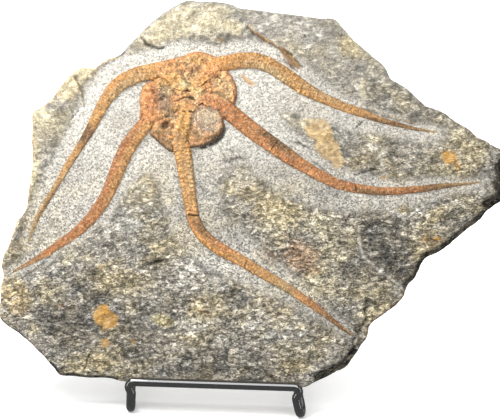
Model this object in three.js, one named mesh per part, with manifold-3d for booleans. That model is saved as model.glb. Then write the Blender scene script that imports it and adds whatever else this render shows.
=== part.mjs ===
// A fossil brittle star lying on its slab of mudstone, standing upright on a bent wire display stand.
// Units are millimetres and +Z is up. The fossil faces -Y, and the footprint is centred on the origin.
import * as THREE from 'three';
import { mergeVertices } from 'three/addons/utils/BufferGeometryUtils.js';
import Module from 'manifold-3d';

const wasm = await Module();
wasm.setup();

// ---- Driving dimensions ----
const LEAN = THREE.MathUtils.degToRad(14); // the slab leans back on its prop
const TURN = THREE.MathUtils.degToRad(1.6); // and sits slightly turned in its own plane
const GAP = 0.3; // between pieces that touch

// Slab, in its own frame: u to the right, v up the face, w out of the face
const THICKNESS = 20;
const SLAB_BOTTOM = 12.8; // height of the front bottom edge above the floor
const FLOOR_W = -1.4; // flat ground that was prepared round the fossil
const SKIN_W = 0.3; // mean level of the natural, unprepared surface
const SKIN_RELIEF = 0.9;
const PREPARED_REACH = 6.4; // how far the prepared ground runs from the fossil's sides
const PREPARED_CENTRE = [-10, 109]; // middle of the ground cleared round the disc
const PREPARED_RADIUS = 27.5;
const SLOPE_LENGTH = 3; // from the prepared ground up to the natural surface
const FRONT_CELL = 4.2;
const BACK_CELL = 10;
const RAIL_CLEARANCE_V = 7; // below this the face stays low, behind the rail
const EDGE_ROUGHNESS = 0.7;

// Fossil
const FOSSIL_W = FLOOR_W + GAP;
const DISC_HEIGHT = 1.7;
const RIDGE_HEIGHT = 0.9;
const RIDGE_WIDTH = 2.4;
const ARM_STEP = 2.6; // from one joint of an arm to the next
const JOINT_WAIST = 0.93; // an arm's width at its joints, against its plates

// Wire stand
const WIRE_RADIUS = 1.8;
const WIRE_SIDES = 8;
const WIRE_FLAT = WIRE_RADIUS * Math.cos(Math.PI / WIRE_SIDES); // from its centre to the middle of a flat
const STAND_CENTRE_U = 0.6;
const CORNER_HALF = 35.4; // centre of the stand to the corners of the rail
const LEG_HALF = 32.8; // and to the tops of the front legs
const LEG_TOP = 9;
const LEG_SLANT = { left: 0.03, right: 0.24 }; // the right leg has been bent outwards, radians
const RAIL_Y = -2.4;
const RAIL_Z = 13.5;
const CORNER_RADIUS = 2.2;
const FOOT_RADIUS = 3; // the hairpin that each front leg stands on
const FOOT_STEPS = 4; // in each quarter of the hairpin
const FOOT_SPLAY = THREE.MathUtils.degToRad(7);
const ARM_END = [32.4, 67.7]; // where the front rod's arms meet the prop
const PROP_FOOT = [34, 74]; // where the prop's legs leave the floor
const PROP_TOE = 10; // length of each leg that lies on the floor
const PROP_HALF = 18; // half the width of the prop's top bar
const PROP_V = 82; // height up the slab's back where the prop touches
const PROP_BEND = 6;

// ---- Slab outline, clockwise from the left side, as [u, v] ----
const OUTLINE = [
  [-72.4, 93.4], [-72.4, 105.2], [-71.8, 108.4], [-70, 109.8], [-66.4, 112.2], [-63.6, 115],
  [-60.4, 119.4], [-56.4, 123.8], [-52.4, 126.2], [-49.2, 125.8], [-46.4, 126.6], [-43.2, 129.4],
  [-37.6, 131], [-34.4, 134.6], [-30.8, 138.2], [-26.8, 142.2], [-21.2, 147], [-15.2, 150.8],
  [-10.8, 152.8], [-5.2, 152.6], [6, 151.8], [10, 150], [19.6, 148.8], [31.6, 147.2],
  [42.8, 145.8], [48, 145.4], [52, 141.4], [56.8, 136.2], [62.4, 131.4], [68.8, 125.4],
  [70.8, 121.4], [75.6, 118.6], [80, 115], [84.4, 111], [90.8, 108.6], [95.2, 105.4],
  [101.2, 101.8], [104, 99.4], [110.8, 95.4], [116, 91.8], [116.4, 84.6], [115.6, 79],
  [116.4, 75], [114.8, 73], [110.8, 70.6], [108.8, 69], [106, 65.4], [101.6, 62.2],
  [95.6, 57], [90.8, 53.4], [84.8, 50.2], [82.8, 47.8], [80.8, 43], [77.6, 39.4],
  [76, 35.4], [74.8, 33.4], [70, 29.4], [64.8, 25.8], [62.4, 23.4], [61.6, 19.4],
  [58.4, 14.6], [56, 10.6], [52.8, 6.6], [48.8, 4.6], [44.4, 2.2], [40, 0.6],
  [37, -1.03], [20, -0.56], [0, 0], [-20, 0.56], [-36.8, 1.03], [-41.2, 2],
  [-49.2, 2.2], [-56.4, 2.8], [-61.6, 3.4], [-63.6, 5.8], [-66.8, 9.6], [-69.8, 12.8],
  [-77.8, 19.8], [-84.8, 25], [-85.8, 28], [-85.2, 33.4], [-85.2, 37.4], [-84, 43],
  [-84.8, 46.8], [-84, 50.4], [-81, 57.6], [-78.2, 64.8], [-75, 69.4], [-73.8, 77.6],
  [-72.4, 85.6],
];
const SLAB_CENTRE = [10, 80];

// ---- Arms, root to tip, as [u, v, half width] ----
const ARMS = {
  arm_upper_left: [
    [-24.4, 124.6, 3.2], [-29.2, 123.8, 3.2], [-34, 121.8, 3.2], [-38, 119.4, 3], [-42.8, 113.8, 2.6],
    [-46.4, 107.4, 2.2], [-49.2, 101.8, 2], [-52.8, 95.8, 1.6], [-58.8, 86.2, 1.4], [-63.2, 78.6, 1.2],
    [-67.2, 72.2, 1.1], [-70.4, 66.6, 1], [-72.8, 60.6, 0.6], [-74, 56.6, 0.35],
  ],
  arm_left: [
    [-27.2, 103.8, 3], [-31.6, 98.2, 3.2], [-34.8, 93.4, 3.2], [-38.4, 85.4, 3], [-42, 76.6, 2.6],
    [-46.4, 69.4, 2.4], [-53.2, 61.8, 2], [-61.2, 56, 1.6], [-69.2, 50.6, 1.2], [-77.2, 46.2, 0.6],
    [-80.4, 44.2, 0.35],
  ],
  arm_front: [
    [-12.4, 93.4, 3.6], [-11.6, 89.4, 3.4], [-10.8, 83.4, 3.2], [-9.8, 77.4, 2.9], [-9.2, 73.4, 2.8],
    [-8, 66.6, 2.6], [-5.4, 61, 2.6], [-2, 57.4, 2.6], [2.2, 54.2, 2.6], [12.4, 48.6, 2.2],
    [19.6, 44.2, 2], [26.8, 40.2, 1.8], [34.8, 35, 1.6], [44.8, 27.8, 1.2], [50.8, 23, 0.8],
    [56, 19.4, 0.4],
  ],
  arm_right: [
    [6.4, 108.6, 3.5], [14.8, 101.8, 3.4], [24.8, 94.6, 3.2], [30.8, 90.4, 3], [36.8, 86.6, 2.4],
    [42.8, 83.2, 2.2], [48.8, 80.2, 2], [54.8, 78.6, 1.9], [66.8, 77, 1.6], [78.8, 77.5, 1.4],
    [90.8, 79, 1.1], [96.8, 79.6, 0.7], [102.8, 80.2, 0.4], [106.8, 80.8, 0.3],
  ],
  arm_upper_right: [
    [5.2, 128, 3], [10.8, 129, 3.2], [14.8, 129.2, 3.2], [18.8, 128.6, 3.1], [22.8, 127, 3],
    [30.8, 121.8, 3], [36, 118.2, 2.8], [42.8, 114.6, 2.2], [50.8, 111, 1.8], [58.8, 108.2, 1.6],
    [66.8, 105.4, 1.2], [74.8, 103.2, 0.9], [80.8, 101.8, 0.7], [86.8, 100.8, 0.4], [89.2, 100.6, 0.3],
  ],
};
const ARM_COLOURS = {
  arm_upper_left: 0xc88c4b,
  arm_left: 0xb96e41,
  arm_front: 0xcd8c3c,
  arm_right: 0xbe693c,
  arm_upper_right: 0xcd9155,
};

// ---- Disc: the ridges meet at its mouth, and its rim bulges between the arms' roots ----
const MOUTH = [-9.2, 114];
const RIM = {
  top: [[-21.2, 128.6], [-17.2, 129.8], [-12, 131], [-9.2, 132.2], [-5.2, 132.6], [-2, 131.8], [1.6, 130.6]],
  right: [[7.6, 122.6], [9.2, 119], [9.4, 114.6]],
  lowerRight: [[5.2, 102.6], [3.6, 99], [1.2, 96.6], [-2.4, 94.8], [-6, 94]],
  lowerLeft: [[-18.8, 94.2], [-22.4, 96.6], [-24.4, 99]],
  left: [[-29.2, 109], [-29.2, 113], [-27.6, 116.6], [-25.6, 119.4]],
};
const LOBE = { centre: [-2.4, 104.6], radius: 7, height: 0.9 }; // smooth swelling beside the front arm
const PIT = { centre: [-19.2, 103.4], radius: 2.4, depth: 1.1 };

// ---- Ledges left in the natural surface: [from, to, drop on the right of the line, reach] ----
const LEDGES = [
  [[13, 144], [36, 125], -1, 9],
  [[-56.4, 123.8], [-52, 110], 0.9, 8],
  [[3.6, 87.4], [14.8, 89.4], -0.8, 7],
  [[-79, 41.4], [-61, 53.4], 0.9, 6],
  [[60, 34], [84, 56], -0.9, 10],
  [[-20, 62], [-44, 36], -0.8, 12],
];

const slabMaterial = new THREE.MeshStandardMaterial({ color: 0xa39d8f, roughness: 0.95 });
const discMaterial = new THREE.MeshStandardMaterial({ color: 0xc8935a, roughness: 0.85 });
const wireMaterial = new THREE.MeshStandardMaterial({ color: 0x141418, roughness: 0.25, metalness: 0.2 });

// ---- Geometry helpers ----

/** Builds a geometry from vertices and triangles, turned so that its faces point out. */
function solid(vertices, triangles) {
  let volume = 0;
  for (const [a, b, c] of triangles) {
    volume += vertices[a].dot(new THREE.Vector3().crossVectors(vertices[b], vertices[c]));
  }
  const geometry = new THREE.BufferGeometry();
  const numbers = vertices.flatMap((p) => p.toArray());
  geometry.setAttribute('position', new THREE.Float32BufferAttribute(numbers, 3));
  geometry.setIndex(triangles.flatMap(([a, b, c]) => (volume > 0 ? [a, b, c] : [a, c, b])));
  return geometry;
}

/** Skins a row of rings that all have the same number of points, and closes both ends with a fan. */
function loft(rings) {
  const count = rings[0].length;
  const vertices = rings.flat();
  const triangles = [];
  for (let r = 0; r + 1 < rings.length; r++) {
    for (let k = 0; k < count; k++) {
      const a = r * count + k;
      const b = r * count + ((k + 1) % count);
      triangles.push([a, b, b + count], [a, b + count, a + count]);
    }
  }
  const ends = [[0, false], [(rings.length - 1) * count, true]];
  for (const [start, last] of ends) {
    const hub = vertices.length;
    const middle = new THREE.Vector3();
    for (let k = 0; k < count; k++) middle.addScaledVector(vertices[start + k], 1 / count);
    vertices.push(middle);
    for (let k = 0; k < count; k++) {
      const a = start + k;
      const b = start + ((k + 1) % count);
      triangles.push(last ? [a, b, hub] : [b, a, hub]);
    }
  }
  return solid(vertices, triangles);
}

/** Turns a closed geometry into a solid that can be cut. */
function toManifold(geometry) {
  const merged = mergeVertices(geometry, 1e-4);
  return new wasm.Manifold(new wasm.Mesh({
    numProp: 3,
    vertProperties: new Float32Array(merged.attributes.position.array),
    triVerts: new Uint32Array(merged.index.array),
  }));
}

/** Turns a cut solid back into a geometry. */
function toGeometry(manifold) {
  const mesh = manifold.getMesh();
  const geometry = new THREE.BufferGeometry();
  geometry.setAttribute('position', new THREE.Float32BufferAttribute(mesh.vertProperties, 3));
  geometry.setIndex(Array.from(mesh.triVerts));
  return geometry;
}

/** Distance from a point to a segment, and how far along it the nearest point is (0 to 1). */
function toSegment([u, v], [au, av], [bu, bv]) {
  const du = bu - au;
  const dv = bv - av;
  const along = THREE.MathUtils.clamp(((u - au) * du + (v - av) * dv) / (du * du + dv * dv), 0, 1);
  return [Math.hypot(u - au - along * du, v - av - along * dv), along];
}

/** Smallest distance from a point to the sides of any arm, less than zero inside one. */
function clearOfArms(point) {
  let nearest = Infinity;
  for (const arm of Object.values(ARMS)) {
    for (let k = 0; k + 1 < arm.length; k++) {
      const [distance, along] = toSegment(point, arm[k], arm[k + 1]);
      const halfWidth = THREE.MathUtils.lerp(arm[k][2], arm[k + 1][2], along);
      nearest = Math.min(nearest, distance - halfWidth);
    }
  }
  return nearest;
}

// ---- Slab ----

/** Gentle unevenness of split mudstone, between -1 and 1. */
function unevenness(u, v) {
  const waves = [
    [0.11, 0.05, 0.4, 0.4], [0.04, -0.13, 1.7, 0.3], [0.21, 0.17, 2.9, 0.2], [-0.31, 0.23, 0.6, 0.2],
    [0.52, 0.41, 4.1, 0.14], [-0.47, 0.66, 5.3, 0.12],
  ];
  return waves.reduce((sum, [ku, kv, phase, size]) => sum + size * Math.sin(ku * u + kv * v + phase), 0);
}

/** Height of the face: low and flat round the fossil, rougher and higher beyond. */
function faceHeight(u, v) {
  let skin = SKIN_W + SKIN_RELIEF * unevenness(u, v);
  for (const [from, to, drop, reach] of LEDGES) {
    const [distance] = toSegment([u, v], from, to);
    const side = (to[0] - from[0]) * (v - from[1]) - (to[1] - from[1]) * (u - from[0]);
    const fade = Math.max(0, 1 - distance / reach);
    skin += side * drop < 0 ? -Math.abs(drop) * fade : 0;
  }
  if (v < RAIL_CLEARANCE_V) skin = Math.min(skin, 0);
  const fromDisc = Math.hypot(u - PREPARED_CENTRE[0], v - PREPARED_CENTRE[1]) - PREPARED_RADIUS;
  const beyond = Math.min(clearOfArms([u, v]) - PREPARED_REACH, fromDisc);
  const natural = THREE.MathUtils.smoothstep(beyond, 0, SLOPE_LENGTH);
  return THREE.MathUtils.lerp(FLOOR_W, Math.max(skin, FLOOR_W), natural);
}

/** Height of the back, which is flat where the prop touches it. */
function backHeight(u, v) {
  const flat = THREE.MathUtils.smoothstep(Math.hypot(u - STAND_CENTRE_U, v - PROP_V), 26, 40);
  return -THICKNESS + flat * (1.3 + 1.3 * unevenness(v * 0.8, u * 0.8));
}

/** A block with an uneven surface on one side and a flat one at the level "far". */
function reliefBlock(cell, far, height) {
  const [left, right, low, high] = [-95, 127, -12, 163];
  const columns = Math.round((right - left) / cell);
  const rows = Math.round((high - low) / cell);
  const vertices = [];
  const triangles = [];
  for (let j = 0; j <= rows; j++) {
    for (let i = 0; i <= columns; i++) {
      const u = left + ((right - left) * i) / columns;
      const v = low + ((high - low) * j) / rows;
      vertices.push(new THREE.Vector3(u, v, height(u, v)));
    }
  }
  const at = (i, j) => j * (columns + 1) + i;
  for (let j = 0; j < rows; j++) {
    for (let i = 0; i < columns; i++) {
      const [a, b, c, d] = [at(i, j), at(i + 1, j), at(i + 1, j + 1), at(i, j + 1)];
      triangles.push(...((i + j) % 2 ? [[a, b, c], [a, c, d]] : [[a, b, d], [b, c, d]]));
    }
  }
  const border = [];
  for (let i = 0; i < columns; i++) border.push(at(i, 0));
  for (let j = 0; j < rows; j++) border.push(at(columns, j));
  for (let i = columns; i > 0; i--) border.push(at(i, rows));
  for (let j = rows; j > 0; j--) border.push(at(0, j));
  const base = vertices.length;
  for (const k of border) vertices.push(new THREE.Vector3(vertices[k].x, vertices[k].y, far));
  const hub = vertices.length;
  vertices.push(new THREE.Vector3((left + right) / 2, (low + high) / 2, far));
  border.forEach((top, k) => {
    const next = (k + 1) % border.length;
    triangles.push([top, base + k, base + next], [top, base + next, border[next]]);
    triangles.push([base + k, hub, base + next]);
  });
  return solid(vertices, triangles);
}

/** The broken edge all round the slab, as rings from in front of the face to behind the back. */
function edgeWall() {
  const levels = [[8, 1], [-0.2, 1], [-3, 0], [-8, 0.25], [-13, 0.1], [-17, 1.2], [-28, 4]];
  const rings = levels.map(([w, inset], row) => OUTLINE.map(([u, v], k) => {
    const [du, dv] = [SLAB_CENTRE[0] - u, SLAB_CENTRE[1] - v];
    const length = Math.hypot(du, dv);
    const undercut = u > 30 && v < 78 && v > 4; // the lower right breaks away outwards below the face
    const chip = row > 2 ? EDGE_ROUGHNESS * Math.sin(k * 2.3 + row * 1.9) ** 2 : 0;
    const depth = inset * (undercut && row < 2 ? 1.8 : 0.7) + chip;
    const lift = v < 4.6 ? Math.max(0, -w) * Math.tan(LEAN) : 0; // the bottom is level
    return new THREE.Vector3(u + (du / length) * depth, v + lift + (v < 4.6 ? 0 : (dv / length) * depth), w);
  }));
  return loft(rings);
}

function makeSlab() {
  const front = toManifold(reliefBlock(FRONT_CELL, -40, faceHeight));
  const back = toManifold(reliefBlock(BACK_CELL, 40, backHeight));
  const edge = toManifold(edgeWall());
  return toGeometry(front.intersect(back).intersect(edge));
}

// ---- Fossil ----

/** An arm's centre line through its points, with the half width carried as the third coordinate. */
function armCurve(points) {
  const stations = points.map(([u, v, half]) => new THREE.Vector3(u, v, half));
  return new THREE.CatmullRomCurve3(stations, false, 'centripetal');
}

/** Direction of an arm where it leaves the disc. */
function rootDirection(points) {
  const tangent = armCurve(points).getTangent(0);
  return new THREE.Vector2(tangent.x, tangent.y).normalize();
}

/** One arm: a low rounded bar of plates, drawn in at each joint, tapering to its tip. */
function makeArm(points) {
  const curve = armCurve(points);
  const steps = Math.round(curve.getLength() / ARM_STEP);
  const rings = [];
  for (let k = 0; k <= steps; k++) {
    const at = curve.getPointAt(k / steps);
    const tangent = curve.getTangentAt(k / steps);
    const along = new THREE.Vector2(tangent.x, tangent.y).normalize();
    const across = new THREE.Vector2(along.y, -along.x);
    const waist = k % 2 && k < steps - 4 ? JOINT_WAIST : 1;
    const half = at.z * waist;
    const height = (0.25 + 0.5 * at.z) * waist;
    const shift = k === 0 ? GAP : 0;
    const profile = [[-1, 0], [-0.82, 0.62], [-0.32, 1], [0.32, 1], [0.82, 0.62], [1, 0]];
    rings.push(profile.map(([side, rise]) => new THREE.Vector3(
      at.x + along.x * shift + across.x * side * half,
      at.y + along.y * shift + across.y * side * half,
      FOSSIL_W + rise * height,
    )));
  }
  return loft(rings);
}

/** The two corners where an arm's root meets the disc: clockwise side first, seen from the front. */
function rootCorners(points) {
  const [u, v, half] = points[0];
  const along = rootDirection(points);
  return [[u - along.y * half, v + along.x * half], [u + along.y * half, v - along.x * half]];
}

/** Height of the disc above its underside: five ridges run from the mouth to the arms. */
function discHeight(u, v) {
  let height = DISC_HEIGHT;
  for (const arm of Object.values(ARMS)) {
    const [distance] = toSegment([u, v], MOUTH, arm[0]);
    height = Math.max(height, DISC_HEIGHT + RIDGE_HEIGHT * Math.exp(-((distance / RIDGE_WIDTH) ** 2)));
  }
  const fromLobe = Math.hypot(u - LOBE.centre[0], v - LOBE.centre[1]) / LOBE.radius;
  height += LOBE.height * Math.max(0, 1 - fromLobe ** 2);
  const fromPit = Math.hypot(u - PIT.centre[0], v - PIT.centre[1]) / PIT.radius;
  return height - PIT.depth * Math.max(0, 1 - fromPit ** 2);
}

/** The disc, as rings that climb its rim and then close in over its top. */
function makeDisc() {
  const outline = [
    rootCorners(ARMS.arm_upper_left)[1], ...RIM.top,
    ...rootCorners(ARMS.arm_upper_right), ...RIM.right,
    ...rootCorners(ARMS.arm_right), ...RIM.lowerRight,
    ...rootCorners(ARMS.arm_front), ...RIM.lowerLeft,
    ...rootCorners(ARMS.arm_left), ...RIM.left,
    rootCorners(ARMS.arm_upper_left)[0],
  ];
  const inner = [0.88, 0.76, 0.63, 0.5, 0.37, 0.24, 0.11].map((size) => [size, 1]);
  const levels = [[1, 0], [0.955, 0.6], ...inner];
  return loft(levels.map(([size, rise]) => outline.map(([u, v]) => {
    const x = MOUTH[0] + (u - MOUTH[0]) * size;
    const y = MOUTH[1] + (v - MOUTH[1]) * size;
    return new THREE.Vector3(x, y, FOSSIL_W + rise * discHeight(x, y));
  })));
}

// ---- Wire stand ----

/** Points and directions along a wire: its corners are [x, y, z, bend radius, steps, stands on the bend]. */
function bentWire(corners) {
  const points = corners.map(([x, y, z]) => new THREE.Vector3(x, y, z));
  const way = points.slice(1).map((p, k) => p.clone().sub(points[k]).normalize());
  const stations = [[points[0], way[0]]];
  for (let k = 1; k + 1 < points.length; k++) {
    const [before, after] = [way[k - 1], way[k]];
    const [radius, steps, standsOn] = corners[k].slice(3);
    const angle = before.angleTo(after);
    const start = points[k].clone().addScaledVector(before, -radius * Math.tan(angle / 2));
    const axis = before.clone().cross(after).normalize();
    const arm = axis.clone().cross(before).multiplyScalar(-radius);
    const hub = start.clone().sub(arm);
    for (let s = 0; s <= steps; s++) {
      const turn = (angle * s) / steps;
      const ahead = before.clone().applyAxisAngle(axis, turn);
      const onFloor = standsOn && Math.abs(ahead.z) < 0.01; // leaves one flat step at the lowest place
      if (!onFloor) stations.push([hub.clone().add(arm.clone().applyAxisAngle(axis, turn)), ahead]);
    }
  }
  stations.push([points.at(-1), way.at(-1)]);
  return stations;
}

/** A bent wire whose eight flats stay level, so that it rests on one wherever it runs along the floor. */
function makeWire(corners) {
  const up = new THREE.Vector3(0, 0, 1);
  const flats = 2 * Math.PI / WIRE_SIDES;
  let side = null;
  const rings = bentWire(corners).map(([point, ahead]) => {
    const level = ahead.clone().cross(up);
    const carried = side ? side.clone().addScaledVector(ahead, -side.dot(ahead)).normalize() : level.clone();
    if (level.length() > 0.1) {
      level.normalize();
      const choices = [...Array(WIRE_SIDES).keys()].map((k) => level.clone().applyAxisAngle(ahead, k * flats));
      side = choices.reduce((best, next) => (next.dot(carried) > best.dot(carried) ? next : best));
    } else {
      side = carried;
    }
    return Array.from({ length: WIRE_SIDES }, (_, k) => side.clone()
      .applyAxisAngle(ahead, (k + 0.5) * flats).multiplyScalar(WIRE_RADIUS).add(point));
  });
  return loft(rings);
}

/** The other side's corners, in the opposite order, so that a wire can run on from one side to the other. */
function mirrored(corners) {
  return [...corners].reverse().map(([x, ...rest]) => [-x, ...rest]);
}

/** One side of the front rod, from the end of its arm through its hairpin foot to the corner of the rail. */
function frontSide(slant) {
  const halfStep = Math.PI / 2 / FOOT_STEPS;
  const sectionDrop = WIRE_FLAT * Math.sqrt(1 - (Math.sin(halfStep) * Math.cos(slant)) ** 2);
  const hubZ = FOOT_RADIUS * Math.cos(halfStep) * Math.cos(slant) + sectionDrop; // so the flat is at z = 0
  const bottom = hubZ - FOOT_RADIUS * Math.cos(slant);
  const armZ = SLAB_BOTTOM - GAP - WIRE_FLAT;
  const [back, out] = [Math.cos(FOOT_SPLAY), Math.sin(FOOT_SPLAY)];
  const strand = (distance, z) => {
    const aside = (LEG_TOP - z) * Math.tan(slant);
    return [LEG_HALF + out * distance + back * aside, RAIL_Y + back * distance - out * aside, z];
  };
  return [
    [...ARM_END, armZ],
    [...strand(3.5 * FOOT_RADIUS, armZ), 8, 2],
    [...strand(2 * FOOT_RADIUS, armZ), FOOT_RADIUS, 4],
    [...strand(2 * FOOT_RADIUS, bottom), FOOT_RADIUS, FOOT_STEPS, true],
    [...strand(0, bottom), FOOT_RADIUS, FOOT_STEPS, true],
    [...strand(0, LEG_TOP), 2, 2],
    [CORNER_HALF, RAIL_Y, RAIL_Z, CORNER_RADIUS, 5],
  ];
}

/** Rail, front legs, hairpin feet and the two arms that carry the slab. */
function makeFrontRod() {
  return makeWire([...frontSide(LEG_SLANT.right), ...mirrored(frontSide(LEG_SLANT.left))]);
}

/** The prop behind the slab: toes on the floor, two legs, and a bar against the slab's back. */
function makeBackRod() {
  const behind = THICKNESS + GAP + WIRE_RADIUS;
  const barY = PROP_V * Math.sin(LEAN) + behind * Math.cos(LEAN);
  const barZ = SLAB_BOTTOM + PROP_V * Math.cos(LEAN) - behind * Math.sin(LEAN);
  const [footX, footY] = PROP_FOOT;
  const rightSide = [
    [footX, footY + PROP_TOE, WIRE_FLAT],
    [footX, footY, WIRE_FLAT, PROP_BEND, 4],
    [PROP_HALF, barY, barZ, PROP_BEND, 5],
  ];
  return makeWire([...rightSide, ...mirrored(rightSide)]);
}

// ---- Assembly ----
const part = new THREE.Group();

function addPiece(parent, name, geometry, material) {
  const mesh = new THREE.Mesh(geometry, material);
  mesh.name = name;
  parent.add(mesh);
}

const slab = new THREE.Group();
slab.position.set(0, 0, SLAB_BOTTOM);
slab.rotation.set(Math.PI / 2 - LEAN, 0, 0);
const face = new THREE.Group();
face.rotation.z = TURN;
slab.add(face);
addPiece(face, 'slab', makeSlab(), slabMaterial);
addPiece(face, 'star_disc', makeDisc(), discMaterial);
for (const [name, points] of Object.entries(ARMS)) {
  const material = new THREE.MeshStandardMaterial({ color: ARM_COLOURS[name], roughness: 0.85 });
  addPiece(face, name, makeArm(points), material);
}
part.add(slab);

const stand = new THREE.Group();
stand.position.x = STAND_CENTRE_U;
addPiece(stand, 'stand_front_rod', makeFrontRod(), wireMaterial);
addPiece(stand, 'stand_back_rod', makeBackRod(), wireMaterial);
part.add(stand);

part.updateMatrixWorld(true);
const extent = new THREE.Box3().setFromObject(part, true);
part.position.set(-(extent.min.x + extent.max.x) / 2, -(extent.min.y + extent.max.y) / 2, -extent.min.z);

export default part;
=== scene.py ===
"""A fossil brittle star on its slab of mudstone, standing on a bent wire display stand.

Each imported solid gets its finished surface: the split and prepared face of the slab, the star's disc
and its five arms of small plates, and the enamelled wire. The slab's frame is found from the packed
stand, and the sizes below are those of the solids. Places on the slab are in millimetres in that
frame: u runs to the right, v up the face and w out of it.
"""
from __future__ import annotations

import logging
import math
from dataclasses import dataclass, field
from enum import Enum
from functools import reduce

import bpy
import numpy as np
from mathutils import Matrix, Quaternion, Vector
from mathutils.geometry import delaunay_2d_cdt

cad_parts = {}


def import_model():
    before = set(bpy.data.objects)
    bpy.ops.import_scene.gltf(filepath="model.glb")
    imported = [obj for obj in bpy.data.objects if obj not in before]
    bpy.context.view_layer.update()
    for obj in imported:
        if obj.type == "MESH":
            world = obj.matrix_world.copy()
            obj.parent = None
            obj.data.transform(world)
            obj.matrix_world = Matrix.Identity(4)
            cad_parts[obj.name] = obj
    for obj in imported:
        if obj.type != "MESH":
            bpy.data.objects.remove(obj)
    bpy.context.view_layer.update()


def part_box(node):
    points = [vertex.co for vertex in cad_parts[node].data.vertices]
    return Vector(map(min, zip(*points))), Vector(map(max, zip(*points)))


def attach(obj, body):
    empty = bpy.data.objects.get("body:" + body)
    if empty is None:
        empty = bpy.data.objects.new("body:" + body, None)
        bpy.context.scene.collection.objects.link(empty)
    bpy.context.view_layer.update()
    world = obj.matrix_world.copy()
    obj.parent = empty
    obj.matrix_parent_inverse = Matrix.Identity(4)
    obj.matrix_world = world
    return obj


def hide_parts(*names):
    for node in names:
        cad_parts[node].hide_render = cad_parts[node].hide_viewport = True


Array = np.ndarray
Place = tuple[float, float]
Triple = tuple[float, float, float]
Piece = bpy.types.Object
Material = bpy.types.Material
NodeTree = bpy.types.NodeTree
Socket = bpy.types.NodeSocket
Inputs = dict[int | str, object]
Values = dict[str, Array]

LOG = logging.getLogger("brittle_star")
MM = 0.001
BODY = "root"
BATCH = 2000  # points measured at a time
SPAN_PARTS = 24  # straight parts that a curve is measured with, from one of its points to the next
ROW_HEIGHT = 0.866  # between rows of points, for a cell of 1
SHAKE = 0.22  # how far a point is shifted at most, for a cell of 1
RIM_CLEARANCE = 0.55  # how near a loop a point may lie, for a cell of 1

# ---- Sizes of the solids that the finished pieces are fitted to, in millimetres ----
LEAN = math.radians(14.0)
TURN = math.radians(1.6)
THICKNESS = 20.0
GAP = 0.3  # between the slab and the wire under it and behind it
SLAB_BOTTOM = 12.8
FLOOR_W = -1.4
SKIN_W = 0.3
SKIN_RELIEF = 0.9
RAIL_CLEARANCE_V = 7.0
STAND_CENTRE_U = 0.6
PROP_FOOT_Y = 74.0
PROP_TOE = 10.0
PROP_V = 82.0
SLAB_CENTRE = (10.0, 80.0)

# The slab's outline, clockwise from the left side, as (u, v)
OUTLINE: tuple[Place, ...] = (
    (-72.4, 93.4), (-72.4, 105.2), (-71.8, 108.4), (-70, 109.8), (-66.4, 112.2), (-63.6, 115),
    (-60.4, 119.4), (-56.4, 123.8), (-52.4, 126.2), (-49.2, 125.8), (-46.4, 126.6), (-43.2, 129.4),
    (-37.6, 131), (-34.4, 134.6), (-30.8, 138.2), (-26.8, 142.2), (-21.2, 147), (-15.2, 150.8),
    (-10.8, 152.8), (-5.2, 152.6), (6, 151.8), (10, 150), (19.6, 148.8), (31.6, 147.2),
    (42.8, 145.8), (48, 145.4), (52, 141.4), (56.8, 136.2), (62.4, 131.4), (68.8, 125.4),
    (70.8, 121.4), (75.6, 118.6), (80, 115), (84.4, 111), (90.8, 108.6), (95.2, 105.4),
    (101.2, 101.8), (104, 99.4), (110.8, 95.4), (116, 91.8), (116.4, 84.6), (115.6, 79),
    (116.4, 75), (114.8, 73), (110.8, 70.6), (108.8, 69), (106, 65.4), (101.6, 62.2),
    (95.6, 57), (90.8, 53.4), (84.8, 50.2), (82.8, 47.8), (80.8, 43), (77.6, 39.4),
    (76, 35.4), (74.8, 33.4), (70, 29.4), (64.8, 25.8), (62.4, 23.4), (61.6, 19.4),
    (58.4, 14.6), (56, 10.6), (52.8, 6.6), (48.8, 4.6), (44.4, 2.2), (40, 0.6),
    (37, -1.03), (20, -0.56), (0, 0), (-20, 0.56), (-36.8, 1.03), (-41.2, 2),
    (-49.2, 2.2), (-56.4, 2.8), (-61.6, 3.4), (-63.6, 5.8), (-66.8, 9.6), (-69.8, 12.8),
    (-77.8, 19.8), (-84.8, 25), (-85.8, 28), (-85.2, 33.4), (-85.2, 37.4), (-84, 43),
    (-84.8, 46.8), (-84, 50.4), (-81, 57.6), (-78.2, 64.8), (-75, 69.4), (-73.8, 77.6),
    (-72.4, 85.6),
)

# Slow waves of the split rock: (rate along u, rate along v, phase, size)
WAVES = (
    (0.11, 0.05, 0.4, 0.4), (0.04, -0.13, 1.7, 0.3), (0.21, 0.17, 2.9, 0.2), (-0.31, 0.23, 0.6, 0.2),
    (0.52, 0.41, 4.1, 0.14), (-0.47, 0.66, 5.3, 0.12),
)


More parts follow.
